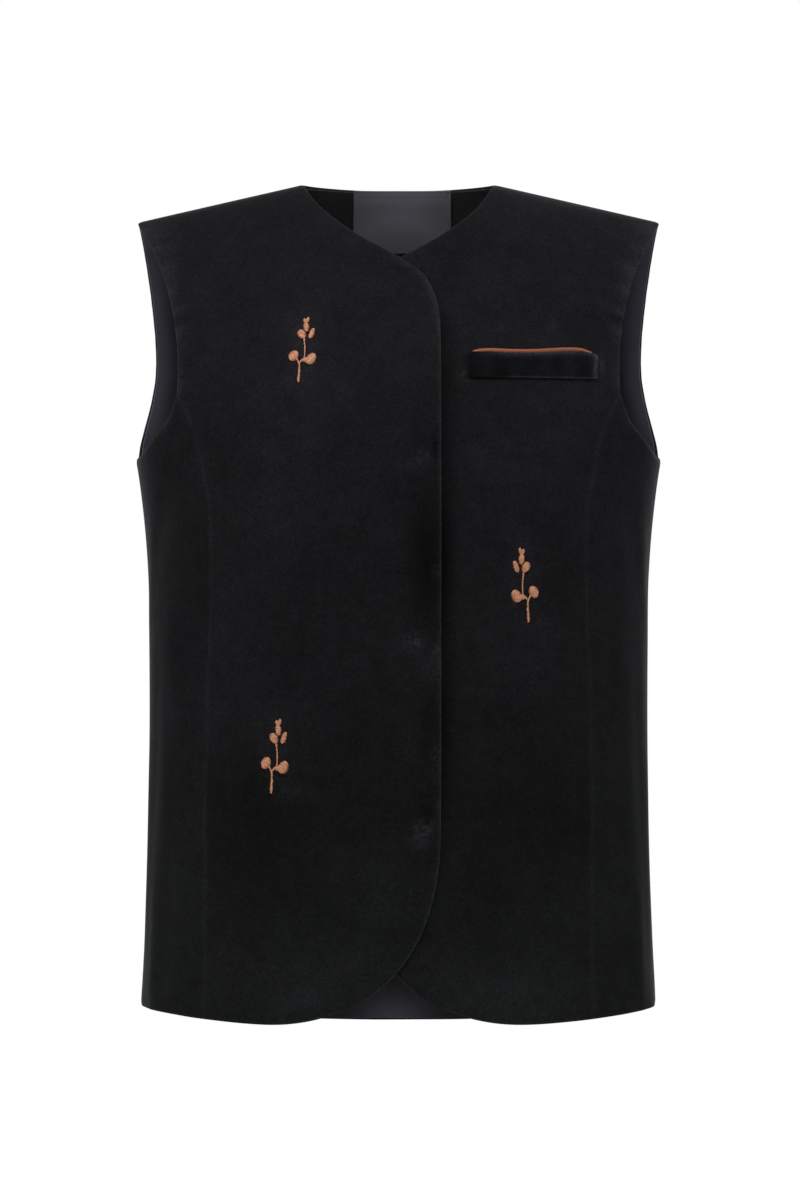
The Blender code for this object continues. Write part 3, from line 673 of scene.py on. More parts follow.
def edge_distances(points):
    """How far each point of a grid is from its four edges, measured square to the edge: the
    distance along the row or column, times the sine of the angle at which they cross."""
    across, down = lengths(points)
    over = np.gradient(points, axis=1)
    under = np.gradient(points, axis=0)
    over /= np.maximum(np.linalg.norm(over, axis=-1, keepdims=True), 1e-12)
    under /= np.maximum(np.linalg.norm(under, axis=-1, keepdims=True), 1e-12)
    square = np.linalg.norm(np.cross(over, under), axis=-1)
    left, right = across * square, (across[:, -1:] - across) * square
    return Distances(left, right, down * square, (down[-1:] - down) * square, down)


def turned_over(distance, wall):
    """Share of a wall's half thickness near an edge that is a half round: a quarter circle."""
    t = 1 - np.clip(distance / (wall / 2), 0, 1)
    return np.sqrt(np.maximum(1 - t * t, 0))


def flush_share(free, sewn):
    """How far a wall's rim is flush with its face: more beside a seam or a hem, where the cloth
    is held flat, than at a free edge. The nearer of the two counts."""
    near_free, near_sewn = np.exp(-free / MILLIMETRE), np.exp(-sewn / MILLIMETRE)
    return (0.35 * near_free + 0.88 * near_sewn) / (near_free + near_sewn + 1e-9)


def quads_of(index):
    """The four-sided cells of a grid of point numbers."""
    return np.stack([index[:-1, :-1], index[1:, :-1], index[1:, 1:], index[:-1, 1:]], axis=-1)


def make_piece(name, points, quads, finishes, finish_of=None, crisp=None, **marks):
    """A smooth mesh from arrays, in its place with its object at the origin. Edges between two
    crisp points are shaded sharp. marks are numbers kept for each point, which the finishes read."""
    mesh = bpy.data.meshes.new(name)
    mesh.from_pydata(points.tolist(), [], quads.tolist())
    for finish in finishes:
        mesh.materials.append(finish)
    if finish_of is not None:
        mesh.polygons.foreach_set("material_index", finish_of.astype(np.int32))
    for mark, values in marks.items():
        kept = mesh.attributes.new(mark, "FLOAT", "POINT")
        kept.data.foreach_set("value", values.astype(np.float32))
    mesh.polygons.foreach_set("use_smooth", np.ones(len(quads), bool))
    if crisp is not None:
        ends = np.empty(2 * len(mesh.edges), np.int32)
        mesh.edges.foreach_get("vertices", ends)
        mesh.edges.foreach_set("use_edge_sharp", crisp[ends.reshape(-1, 2)].all(axis=1))
    mesh.update()
    made = bpy.data.objects.new(name, mesh)
    bpy.context.scene.collection.objects.link(made)
    return made


def wall(name, base, normals, outer_lift, inner_lift, finishes, keep=None, crisp=None, **marks):
    """A closed cloth wall on a grid: its outer sheet is the grid moved out by one lift and its
    inner sheet the grid moved by the other. Along its edges the lifts are the same, and there
    the sheets share their points. keep says which cells are cloth: all, if it is left out. crisp
    says where the shared edge is shaded sharp: nowhere, if it is left out."""
    rows, columns = base.shape[:2]
    if keep is None:
        keep = np.ones((rows - 1, columns - 1), bool)
    around = np.pad(keep, 1).astype(int)
    cells_near = around[:-1, :-1] + around[:-1, 1:] + around[1:, :-1] + around[1:, 1:]
    used, within = cells_near > 0, cells_near == 4
    outer_number = np.cumsum(used.ravel()).reshape(rows, columns) - 1
    inner_number = used.sum() + np.cumsum(within.ravel()).reshape(rows, columns) - 1
    inner_number = np.where(within, inner_number, outer_number)

    outer = base + normals * outer_lift[..., None]
    inner = base + normals * inner_lift[..., None]
    points = np.concatenate([outer[used], inner[within]])
    outside = quads_of(outer_number)[keep]
    inside = quads_of(inner_number)[keep]
    middle = len(outside) // 2
    corners = points[outside[middle]]
    facing = np.cross(corners[2] - corners[0], corners[3] - corners[1])
    if facing @ normals[used][outside[middle][0]] < 0:
        outside = outside[:, ::-1]
    else:
        inside = inside[:, ::-1]
    quads = np.concatenate([outside, inside])
    finish_of = np.repeat([0, len(finishes) - 1], [len(outside), len(inside)])
    kept = {}
    for mark, values in marks.items():
        values = np.broadcast_to(values, used.shape)
        kept[mark] = np.concatenate([values[used], values[within]])
    if crisp is not None:
        crisp = np.concatenate([(crisp & ~within)[used], np.zeros(within.sum(), bool)])
    return make_piece(name, points, quads, finishes, finish_of, crisp, **kept)


def cloth_wall(name, base, normals, distance, lift, layer, finishes, flush=0.4, **others):
    """A wall whose two sheets are a layer's faces, as distances out from the form, moved by the
    lift. Towards an edge they close on each other in a half round, which is flush with the outer
    face as far as the share says: 0 is the middle of the wall and 1 the face."""
    face, inside = layer
    thick = face - inside
    near = turned_over(distance, thick)
    middle = (face + inside) / 2 + flush * thick / 2 * (1 - near)
    half = thick / 2 * near
    return wall(name, base, normals, middle + half + lift, middle - half + lift, finishes, **others)


# Finishes


def set_inputs(node, values):
    """Gives a node's sockets their values, by name."""
    for name, value in values.items():
        node.inputs[name].default_value = value


def new_material(name):
    """An empty node material with a Principled shader, and a short way to add nodes."""
    made = bpy.data.materials.new(name)
    made.use_nodes = True
    tree = made.node_tree
    shader = tree.nodes["Principled BSDF"]
    shader.inputs["Metallic"].default_value = 0

    def add(kind, link=None, **values):
        node = tree.nodes.new(kind)
        for key, value in values.items():
            if hasattr(node, key):
                setattr(node, key, value)
            else:
                node.inputs[key.replace("_", " ").title()].default_value = value
        for socket, source in (link or {}).items():
            tree.links.new(source, node.inputs[socket])
        return node

    return made, tree, shader, add


def noise(add, coordinates, scale, detail=2.0, roughness=0.5, distortion=0.0):
    """A noise's value over object coordinates; scale is patches to the metre."""
    node = add("ShaderNodeTexNoise", {"Vector": coordinates})
    set_inputs(node, {"Scale": scale, "Detail": detail, "Roughness": roughness,
                      "Distortion": distortion})
    return node.outputs["Fac"]


def ranged(add, value, low, high, from_low=0.3, from_high=0.7):
    """A value stretched from one range to another, held at the ends."""
    node = add("ShaderNodeMapRange", {"Value": value})
    set_inputs(node, {"From Min": from_low, "From Max": from_high, "To Min": low, "To Max": high})
    return node.outputs["Result"]


def maths(add, operation, first, second):
    """Two values, sockets or numbers, put together."""
    node = add("ShaderNodeMath", operation=operation)
    for slot, value in enumerate((first, second)):
        if isinstance(value, (int, float)):
            node.inputs[slot].default_value = value
        else:
            node.id_data.links.new(value, node.inputs[slot])
    return node.outputs["Value"]


def product(add, *values):
    """Several values, sockets or numbers, multiplied."""
    result = values[0]
    for value in values[1:]:
        result = maths(add, "MULTIPLY", result, value)
    return result


def attribute(add, name):
    """A number that the mesh keeps for each of its points."""
    return add("ShaderNodeAttribute", attribute_name=name).outputs["Fac"]


def tinted(add, first, second, share):
    """A colour between two, by a share."""
    node = add("ShaderNodeMix", data_type="RGBA")
    set_inputs(node, {"A": (*first, 1), "B": (*second, 1)})
    node.id_data.links.new(share, node.inputs["Factor"])
    return node.outputs["Result"]


def scaled_colour(add, colour, factor):
    """A colour times a value."""
    node = add("ShaderNodeVectorMath", {"Vector": colour}, operation="SCALE")
    node.id_data.links.new(factor, node.inputs["Scale"])
    return node.outputs["Vector"]


def bump(add, height, distance, strength, under=None):
    """A bump so many metres deep, over another if one is given."""
    node = add("ShaderNodeBump", {"Height": height})
    set_inputs(node, {"Distance": distance, "Strength": strength})
    if under is not None:
        node.id_data.links.new(under, node.inputs["Normal"])
    return node.outputs["Normal"]


def velvet_finish(name, plain, violet, sheen):
    """Cotton velvet: near black, more violet towards the shoulders, with a grain of pile tufts, soft
    clouds where the pile lies one way or another, the lighter and crushed marks that the mesh keeps,
    among them painted shade, painted shadows and painted highlights, and a soft glow at grazing angles."""
    made, tree, shader, add = new_material(name)
    place = add("ShaderNodeTexCoord").outputs["Object"]
    tufts = noise(add, place, 1500, 1.5, 0.6)
    flecks = noise(add, place, 420, 3.0, 0.65, 0.4)
    lay = noise(add, place, 75, 3.0, 0.6, 0.6)
    clouds = noise(add, place, 13, 2.5, 0.55, 0.3)

    # the mesh's marks, painted light and shade among them, scale the colour
    lighter = maths(add, "MAXIMUM", maths(add, "ADD", attribute(add, "pile"), 1.0), 0.25)
    light = product(add, ranged(add, tufts, 0.60, 1.40), ranged(add, flecks, 0.72, 1.30),
                    ranged(add, lay, 0.86, 1.15), ranged(add, clouds, 0.86, 1.16), lighter)
    crumbs = ranged(add, noise(add, place, 300, 4.0, 0.68, 0.5), 0.0, 4.0, 0.38, 0.72)
    light = maths(add, "ADD", light, product(add, attribute(add, "crush"), crumbs))
    height = add("ShaderNodeSeparateXYZ", {"Vector": place}).outputs["Z"]
    share = product(add, ranged(add, noise(add, place, 8, 1.0), 0.35, 1, 0.4, 0.62),
                    ranged(add, height, 0, 1, -0.56, -0.12))
    colour = tinted(add, plain, violet, share)
    tree.links.new(scaled_colour(add, colour, light), shader.inputs["Base Color"])
    under = bump(add, lay, 0.0007, 0.45)
    under = bump(add, flecks, 0.00035, 0.5, under)
    tree.links.new(bump(add, tufts, 0.00025, 0.55, under), shader.inputs["Normal"])
    tree.links.new(ranged(add, flecks, 0.88, 1.0), shader.inputs["Roughness"])
    set_inputs(shader, {"Specular IOR Level": 0.02, "Sheen Weight": sheen, "Sheen Roughness": 0.30,
                        "Sheen Tint": (0.90, 0.93, 1.0, 1)})
    return made


def satin_finish(name, dark, light, roughness, thread, gloss=0.08):
    """Satin: fine threads mostly one way, a soft broad gloss, and faint crinkles. thread is the
    number of threads to the metre, and the mesh may keep painted shade: how much darker a place is."""
    made, tree, shader, add = new_material(name)
    place = add("ShaderNodeTexCoord").outputs["Object"]
    stretch = add("ShaderNodeMapping", {"Vector": place})
    set_inputs(stretch, {"Scale": (thread, thread, thread / 9)})
    threads = noise(add, stretch.outputs["Vector"], 1.0, 2.0, 0.6)
    crinkle = noise(add, place, 120, 3.0, 0.6, 0.5)
    clouds = noise(add, place, 22, 2.0, 0.5)
    share = product(add, ranged(add, threads, 0.55, 1.0), ranged(add, clouds, 0.6, 1.0))
    shade = maths(add, "ADD", attribute(add, "shade"), 1.0)
    colour = scaled_colour(add, tinted(add, dark, light, share), shade)
    tree.links.new(colour, shader.inputs["Base Color"])
    under = bump(add, crinkle, 0.0006, 0.35)
    tree.links.new(bump(add, threads, 0.00012, 0.5, under), shader.inputs["Normal"])
    tree.links.new(ranged(add, threads, roughness - 0.05, roughness + 0.08), shader.inputs["Roughness"])
    set_inputs(shader, {"Specular IOR Level": gloss})
    return made


def plain_weave_finish(name, dark, light):
    """A matt plain weave: two crossed rows of threads, and small slubs."""
    made, tree, shader, add = new_material(name)
    place = add("ShaderNodeTexCoord").outputs["Object"]
    warp = add("ShaderNodeTexWave", {"Vector": place}, wave_type="BANDS", bands_direction="X")
    weft = add("ShaderNodeTexWave", {"Vector": place}, wave_type="BANDS", bands_direction="Z")
    for wave in (warp, weft):
        set_inputs(wave, {"Scale": 420, "Distortion": 0.6})
    weave = product(add, warp.outputs["Fac"], weft.outputs["Fac"])
    slubs = noise(add, place, 260, 3.0, 0.6)
    share = product(add, ranged(add, weave, 0.4, 1, 0, 1), ranged(add, slubs, 0.5, 1.0))
    tree.links.new(tinted(add, dark, light, share), shader.inputs["Base Color"])
    tree.links.new(bump(add, weave, 0.0002, 0.5), shader.inputs["Normal"])
    tree.links.new(ranged(add, slubs, 0.82, 0.95), shader.inputs["Roughness"])
    set_inputs(shader, {"Specular IOR Level": 0.2})
    return made


def thread_finish(name, deep, bright):
    """Embroidery thread: each strand a little different, with painted shade where it dives at its ends,
    and a silky gloss. The mesh keeps a strand's own shade and how far along it a point is."""
    made, tree, shader, add = new_material(name)
    place = add("ShaderNodeTexCoord").outputs["Object"]
    fibres = noise(add, place, 5200, 2.0, 0.6)
    clumps = noise(add, place, 900, 3.0, 0.7, 0.4)
    # painted shade at each strand's ends, by the crown mark
    share = product(add, ranged(add, attribute(add, "crown"), 0.30, 1.0, 0, 0.8),
                    ranged(add, attribute(add, "shade"), 0.62, 1.0, 0, 1),
                    ranged(add, fibres, 0.82, 1.05), ranged(add, clumps, 0.30, 1.40, 0.38, 0.62))
    tree.links.new(tinted(add, deep, bright, share), shader.inputs["Base Color"])
    tree.links.new(bump(add, fibres, 0.00008, 0.5), shader.inputs["Normal"])
    tree.links.new(ranged(add, fibres, 0.42, 0.58), shader.inputs["Roughness"])
    set_inputs(shader, {"Specular IOR Level": 0.3, "Sheen Weight": 0.05})
    return made


velvet = velvet_finish("velvet", (0.0036, 0.0038, 0.0040), (0.0042, 0.0039, 0.0049), sheen=0.048)
welt_velvet = velvet_finish("welt velvet", (0.0021, 0.0021, 0.0025), (0.0025, 0.0024, 0.0030),
                            sheen=0.036)
front_lining = satin_finish("front lining", (0.014, 0.014, 0.016), (0.026, 0.026, 0.030),
                            roughness=0.45, thread=2600)
lining_satin = satin_finish("lining satin", (0.029, 0.0275, 0.036), (0.050, 0.0475, 0.062),
                            roughness=0.42, thread=2600)
facing_weave = plain_weave_finish("facing weave", (0.0030, 0.0030, 0.0032), (0.008, 0.008, 0.0085))
label_satin = satin_finish("label satin", (0.040, 0.0385, 0.046), (0.066, 0.064, 0.076),
                           roughness=0.40, thread=3200, gloss=0.2)
lip_satin = satin_finish("lip satin", (0.086, 0.0255, 0.0120), (0.138, 0.0460, 0.0210),
                         roughness=0.45, thread=3000)
coral_thread = thread_finish("coral thread", (0.10, 0.030, 0.013), (0.335, 0.146, 0.073))
dark_thread = thread_finish("dark thread", (0.006, 0.006, 0.007), (0.020, 0.020, 0.023))


# Panels


def centre_front_place(u, v, power):
    """Where the centre front's point at shares u across and v down lies, as (out, height)."""

    def inner(share):
        z = NECK_HEIGHT + (CUTAWAY_CORNER - NECK_HEIGHT) * share
        return np.stack([front_edge(z, power), z], axis=-1)

    def outer(share):
        z = TIP_HEIGHT + (HEM - TIP_HEIGHT) * share
        out = np.where(z > JUNCTION, smooth(FRONT_ARMHOLE, z), smooth(FRONT_SEAM, z) + SEAM_OVERLAP)
        return np.stack([out, z], axis=-1)

    first, last = inner(np.zeros(1)), outer(np.zeros(1))
    low_first, low_last = inner(np.ones(1)), outer(np.ones(1))

    def top(share):
        return first + (last - first) * share[..., None]

    def bottom(share):
        out = low_first[0, 0] + (low_last[0, 0] - low_first[0, 0]) * share
        return np.stack([out, front_hem(out, power)], axis=-1)

    return between_edges(inner, outer, top, bottom, u, v)


def side_front_place(u, v):
    """Where the side front's point at shares u across and v down lies, as (angle round the body,
    height)."""
    heights = [p.height for p in LOWER_FRONT_ARMHOLE] + [UNDERARM]
    angles = [angle_at(p.out, p.height) for p in LOWER_FRONT_ARMHOLE] + [SIDE_SEAM_ANGLE]
    run = np.linspace(0, 1, len(heights))

    def seam(share):
        z = JUNCTION + (HEM - JUNCTION) * share
        return np.stack([angle_at(smooth(FRONT_SEAM, z) - SEAM_OVERLAP, z), z], axis=-1)

    def side(share):
        z = UNDERARM + (HEM - UNDERARM) * share
        return np.stack([SIDE_SEAM_ANGLE + 0 * z, z], axis=-1)

    def armhole(share):
        columns = [smooth(list(zip(run, column)), share) for column in (angles, heights)]
        return np.stack(columns, axis=-1)

    first, last = seam(np.zeros(1)), side(np.zeros(1))
    low_first, low_last = seam(np.ones(1)), side(np.ones(1))

    def top(share):
        c = share[..., None]
        to_seam, to_side = first - armhole(np.zeros(1)), last - armhole(np.ones(1))
        return armhole(share) + (1 - c) * to_seam + c * to_side

    def bottom(share):
        return low_first + (low_last - low_first) * share[..., None]

    return between_edges(seam, side, top, bottom, u, v)


def back_place(share, v):
    """Where the back's point at this share of its half width and share down lies, as (x, z)."""
    rows = TIP_HEIGHT + (HEM - TIP_HEIGHT) * v
    edge_out = np.where(rows > UNDERARM, smooth(BACK_ARMHOLE, rows), section("half_width", rows))
    neck = np.minimum(ridge(share * SHOULDER_TIP)[0], NECK_HEIGHT)
    tip = ridge(np.array(SHOULDER_TIP))[0]
    hem_drop = -BACK_HEM_DROP * (1 - np.abs(share) ** HEM_CURVE_POWER)
    z = rows + (1 - v) * (neck - tip) + v * hem_drop
    return np.stack([share * edge_out, z], axis=-1)


def share_at(z):
    """The share down a panel at which its outer edge is at this height."""
    return (TIP_HEIGHT - np.asarray(z, float)) / (TIP_HEIGHT - HEM)


def arc_share(arc):
    """The share down a panel at an angle over the shoulder."""
    return SHOULDER_ROUNDING * (1 - np.cos(arc)) / (TIP_HEIGHT - HEM)


def row_lengths(place, form, v):
    """How long each row of a panel is, from 25 points along it."""
    u = np.linspace(0, 1, 25)[None] + 0 * v[:, None]
    points, _ = form(place(u, v[:, None] + 0 * u))
    return lengths(points)[0][:, -1]


def panel_grid(place, form, v, cell):
    """A panel's points and normals at rows v, with columns close together at both edges."""
    row = row_lengths(place, form, v)
    fixed, scaled = shares(np.median(row), cell)
    u = fixed[None] + scaled[None] / row[:, None]
    return form(place(u, v[:, None] + 0 * u))


def finished(piece, node=None):
    """A piece that rides on the one body and stands for its solid."""
    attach(piece, "root")
    if node is not None:
        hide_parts(node)
    return piece


def hung(piece, node, with_pieces=()):
    """A finished cloth piece."""
    finished(piece, node)


def edge_light(distance, line=EDGE_HIGHLIGHT_WIDTH):
    """The thin lighter line over an edge: where the pile opens, and a painted highlight for the sheen
    on its roll.
    """
    return bell(distance, line)


def centre_front(hand, sign, over):
    """A centre front. The upper one climbs over the lower, and its edge is held at the fasteners."""

    def form(place):
        x, z = sign * place[..., 0], place[..., 1]
        points, normals = on_form(x, z, "front")
        if over:
            points = points + normals * lap_lift(x, z)[..., None]
        return points, normals

    def place(u, v):
        return centre_front_place(u, v, CUTAWAY_POWER if over else UNDER_CUTAWAY_POWER)

    points, normals = panel_grid(place, form, rows_down(FRONT_CELL), FRONT_CELL)
    x, z = points[..., 0], points[..., 2]
    d = edge_distances(points)
    in_armhole = z > JUNCTION - 0.004
    to_seam = np.where(in_armhole, 1.0, d.right)
    to_armhole = np.where(in_armhole, d.right, 1.0)
    free = np.minimum(d.left, to_armhole)
    sewn = nearest(to_seam, d.top, d.bottom)

    lift = front_relief(x, z) * fade(to_seam, 0.020) * fade(d.top, 0.015)
    puckers = puckered(ARMHOLE_PUCKERS, d.down, d.right) * fade(d.down, 0.02) * in_armhole
    lift += puckers
    lift += seam_ripple(to_seam, z)
    roll = np.where(x > -0.03, 0.0004, EDGE_ROLL) if over else EDGE_ROLL
    lift -= rolled_in(d.left, roll) * (z > HEM + 0.02)
    lift -= rolled_in(to_armhole, EDGE_ROLL)
    lift -= rolled_in(d.bottom, HEM_ROLL, 0.005)
    wave = 0.00035 * np.sin(x / 0.0095 + 2.1 * np.sin(x / 0.031)) * bell(d.bottom, 0.014)
    lift += wave * fade(to_seam, 0.012)

    # Colour marks, with painted light and shade: the broad patches, painted highlights along the edges
    # and seams, and on the crests of the armhole puckers
    pile = marked(BROAD_PATCHES_AND_PAINTED_LIGHT, x, z)
    pile += edge_light(d.left, 0.0009) * np.where(z > -0.1, 0.5, 1.7)
    pile += 0.8 * edge_light(d.bottom) + 0.5 * edge_light(to_armhole)
    pile += 0.35 * edge_light(to_seam, 0.0012) + 0.5 * edge_light(d.top)
    pile += 2500 * np.maximum(puckers, 0)
    crush = crushed(x, z) + 0.15 * bell(d.top, 0.004) * uneven(x)
    crush += 0.40 * bell(to_armhole, 0.0060) * uneven(d.down)
    crush += 0.12 * bell(to_seam, 0.0035) * uneven(d.down + 0.02)
    if over:
        # painted highlight on the rolled curve of the upper front's neck edge
        pile += 1.0 * bell(d.left, 0.0046) * np.exp(-(((z + 0.074) / 0.028) ** 4))
        crush += 0.25 * bell(d.left, 0.0035) * uneven(d.down) ** 2 * (z < -0.1)
    else:
        # painted shadow that the upper front casts on the lower one, beside its edge
        beside = x - LAP_EDGE - 0.0030
        length = fade(-0.088 - z, 0.02) * fade(z + 0.560, 0.12)
        pile -= 0.38 * bell(np.maximum(beside, 0), 0.0085) * length
    points = points + np.stack([0 * x, 0 * x, hem_dip(x, z)], axis=-1)
    return cloth_wall("velvet_centre_front_" + hand, points, normals, np.minimum(free, sewn), lift,
                      VELVET_LAYER, [velvet, front_lining], flush_share(free, sewn), crisp=sewn < free,
                      pile=pile, crush=crush)


def side_front(hand, sign):
    """A side front, from the curved seam round to the side seam."""

    def form(place):
        return on_form(sign * across_at(place[..., 0], place[..., 1]), place[..., 1], "front")

    points, normals = panel_grid(side_front_place, form, row_of(JUNCTION - HEM, SIDE_CELL), SIDE_CELL)
    z = points[..., 2]
    d = edge_distances(points)
    sewn = nearest(d.left, d.right, d.bottom)
    around = np.abs(round_the_body(points[..., 0], z))

    lift = creased(SIDE_CREASES, around + 0.004 * sign, z)
    lift *= fade(d.left, 0.015) * fade(d.right, 0.015) * fade(d.top, 0.012)
    lift += seam_ripple(d.left, z)
    lift += seam_ripple(d.right, z + 0.004)
    lift -= rolled_in(d.top, EDGE_ROLL)
    lift -= rolled_in(d.bottom, HEM_ROLL, 0.005)
    wave = 0.00035 * np.sin(around / 0.009 + sign) * bell(d.bottom, 0.014)
    lift += wave * fade(d.left, 0.012) * fade(d.right, 0.012)
    # painted highlights along the armhole, the hem and the curved seam
    pile = 0.3 * edge_light(d.top) + 0.8 * edge_light(d.bottom) + 0.3 * edge_light(d.left, 0.0012)
    crush = 0.50 * bell(d.top, 0.0055) * uneven(around)
    crush += 0.12 * bell(d.left, 0.0035) * uneven(d.down + 0.16)
    past_seam = 1.5 * SEAM_OVERLAP * np.exp(-d.right / MILLIMETRE)
    points = points + np.stack([0 * z, past_seam, hem_dip(points[..., 0], z)], axis=-1)
    return cloth_wall("velvet_side_front_" + hand, points, normals, np.minimum(sewn, d.top), lift,
                      VELVET_LAYER, [velvet, front_lining], flush_share(d.top, sewn),
                      crisp=sewn < d.top, pile=pile, crush=crush)


def back_form(place):
    """The form's back at places given as (x, z)."""
    return on_form(place[..., 0], place[..., 1], "back")


def back():
    """The back, with creases like the fronts' on the side that the photograph hides."""
    v = rows_down(BACK_CELL)
    points, normals = panel_grid(lambda u, w: back_place(2 * u - 1, w), back_form, v, BACK_CELL)
    x, z = points[..., 0], points[..., 2]
    d = edge_distances(points)
    to_side = np.minimum(d.left, d.right)
    around = round_the_body(x, z)
    in_armhole = z > UNDERARM
    in_neck = np.abs(x) < NECK_POINT
    free = np.where(in_armhole, to_side, 1.0)
    sewn = nearest(np.where(in_armhole, 1.0, to_side), d.top, d.bottom)

    lift = back_relief(x, z)
    puckers = puckered(ARMHOLE_PUCKERS, d.down * 1.07, to_side) * fade(d.down, 0.02) * in_armhole
    lift += 0.8 * puckers
    lift += seam_ripple(to_side, z + 0.004) * ~in_armhole
    lift -= rolled_in(to_side, EDGE_ROLL) * in_armhole
    lift -= rolled_in(d.bottom, HEM_ROLL, 0.005)
    wave = 0.0004 * np.sin(around / 0.010 + 1.5 * np.sin(around / 0.04)) * bell(d.bottom, 0.016)
    lift += wave * fade(to_side, 0.012)
    # painted highlights along the armholes, side seams, hem, neck and shoulder seams, and on the crests
    # of the armhole puckers
    pile = edge_light(to_side) * np.where(in_armhole, 0.15, 0.4) + 0.45 * edge_light(d.bottom)
    pile += edge_light(d.top) * np.where(in_neck, 0.8, 0.5) + 2000 * np.maximum(puckers, 0)
    crush = 0.50 * bell(free, 0.0055) * uneven(d.down)
    past_seam = -1.5 * SEAM_OVERLAP * np.exp(-to_side / MILLIMETRE) * ~in_armhole
    points = points + np.stack([0 * x, past_seam, np.maximum(hem_dip(x, z), 0)], axis=-1)
    return cloth_wall("velvet_back", points, normals, np.minimum(free, sewn), lift, VELVET_LAYER,
                      [velvet], flush_share(free, sewn), crisp=sewn < free, pile=pile, crush=crush)


def back_lining():
    """The back's lining, cut round the neck facing, with soft folds that stand in from the back, and
    painted shade and a painted pool of light in its colour.
    """
    half = LINING_HALF_WIDTH / SHOULDER_TIP
    side_of_facing = FACING_HALF_WIDTH / SHOULDER_TIP
    foot_of_facing = share_at(FACING_FOOT)
    wide, tall = SHOULDER_TIP, TIP_HEIGHT - HEM
    near = RIM * 0.6

    def spread(start, end, cell, real):
        fixed, scaled = shares((end - start) * real, cell)
        return start + (end - start) * fixed + scaled * 0.6 / real

    outer = spread(side_of_facing, half, LINING_CELL, wide)
    across_facing = int(2 * FACING_HALF_WIDTH / LINING_CELL)
    middle = np.linspace(-side_of_facing, side_of_facing, across_facing)[1:-1]
    share = np.concatenate([-outer[::-1], middle, outer])
    arcs = np.linspace(LINING_TOP_ARC, np.pi / 2, 16)
    below_shoulder = spread(share_at(TIP_HEIGHT - SHOULDER_ROUNDING), foot_of_facing, 0.006, tall)
    below_facing = spread(foot_of_facing, share_at(LINING_FOOT), LINING_CELL, tall)
    v = np.concatenate([arc_share(arcs[:1]) + near / SHOULDER_DEPTH * 0.06, arc_share(arcs[1:]),
                        below_shoulder[1:], below_facing[1:]])
    share, v = np.meshgrid(share, v)
    spread_wider = share * (1 + 0.0022 * fade(v - share_at(UNDERARM), 0.03))
    points, normals = back_form(back_place(spread_wider, v))
    points[..., 2] += np.maximum(hem_dip(points[..., 0], points[..., 2]), 0)
    x, z = points[..., 0], points[..., 2]
    d = edge_distances(points)
    past_side = np.maximum(np.abs(share) - side_of_facing, 0) * wide
    past_foot = np.maximum(v - foot_of_facing, 0) * tall
    from_facing = np.hypot(past_side, past_foot)
    distance = nearest(d.left, d.right, d.top, d.bottom)
    distance = np.minimum(distance, from_facing)
    middle_share = (share[:-1, :-1] + share[1:, 1:]) / 2
    middle_v = (v[:-1, :-1] + v[1:, 1:]) / 2
    keep = (np.abs(middle_share) > side_of_facing) | (middle_v > foot_of_facing)

    folds = creased(LINING_CREASES, round_the_body(x, z), z)
    folds += 0.0003 * (1 + np.sin(round_the_body(x, z) / 0.011 + 2.0 * np.sin(z / 0.05)))
    lift = back_relief(x, z) - folds * fade(distance, 0.02)
    to_side = np.minimum(d.left, d.right)
    # Painted shade: the upper lining darker away from its side edges, under the fronts, and the lower
    # middle darker towards the hem, but for a painted pool of light at the bottom centre
    shade = -0.80 * (1 - bell(to_side, 0.0135)) * fade(z + 0.30, 0.1)
    painted_light_pool = np.exp(-(((x + 0.004) / 0.027) ** 2) - ((z + 0.672) / 0.021) ** 2)
    shade -= (0.97 - 0.80 * painted_light_pool) * np.exp(-((x / 0.15) ** 4)) * fade(-0.40 - z, 0.2)
    return cloth_wall("satin_back_lining", points, normals, distance, lift, LINING_LAYER,
                      [lining_satin], keep=keep, shade=shade)


def neck_facing():
    """The neck facing, in the lining's own layer."""
    gap = 0.00015
    half = (FACING_HALF_WIDTH - gap) / SHOULDER_TIP
    foot = share_at(FACING_FOOT + gap)
    arcs = np.linspace(LINING_TOP_ARC, np.pi / 2, 18)
    share = -half + 2 * half * row_of(2 * FACING_HALF_WIDTH, FACING_CELL)
    turned = SHOULDER_ROUNDING / (TIP_HEIGHT - HEM)
    body = np.linspace(turned, foot - RIM[-1] / (TIP_HEIGHT - HEM), 9)[1:]
    v = np.concatenate([arc_share(arcs[:1] + RIM / SHOULDER_DEPTH), arc_share(arcs[1:]), body,
                        foot - RIM[-2::-1] / (TIP_HEIGHT - HEM)])
    share, v = np.meshgrid(share, v)
    points, normals = back_form(back_place(share, v))
    d = edge_distances(points)
    distance = nearest(d.left, d.right, d.top, d.bottom)
    ripple = 0.0002 * (1 + np.sin(points[..., 0] / 0.012)) * fade(distance, 0.012)
    ripple *= fade(np.abs(points[..., 0]) - LABEL_HALF_WIDTH - LABEL_SHIFT - 0.004, 0.02)
    lift = back_relief(points[..., 0], points[..., 2]) - ripple
    return cloth_wall("woven_neck_facing", points, normals, distance, lift, LINING_LAYER,
                      [facing_weave])


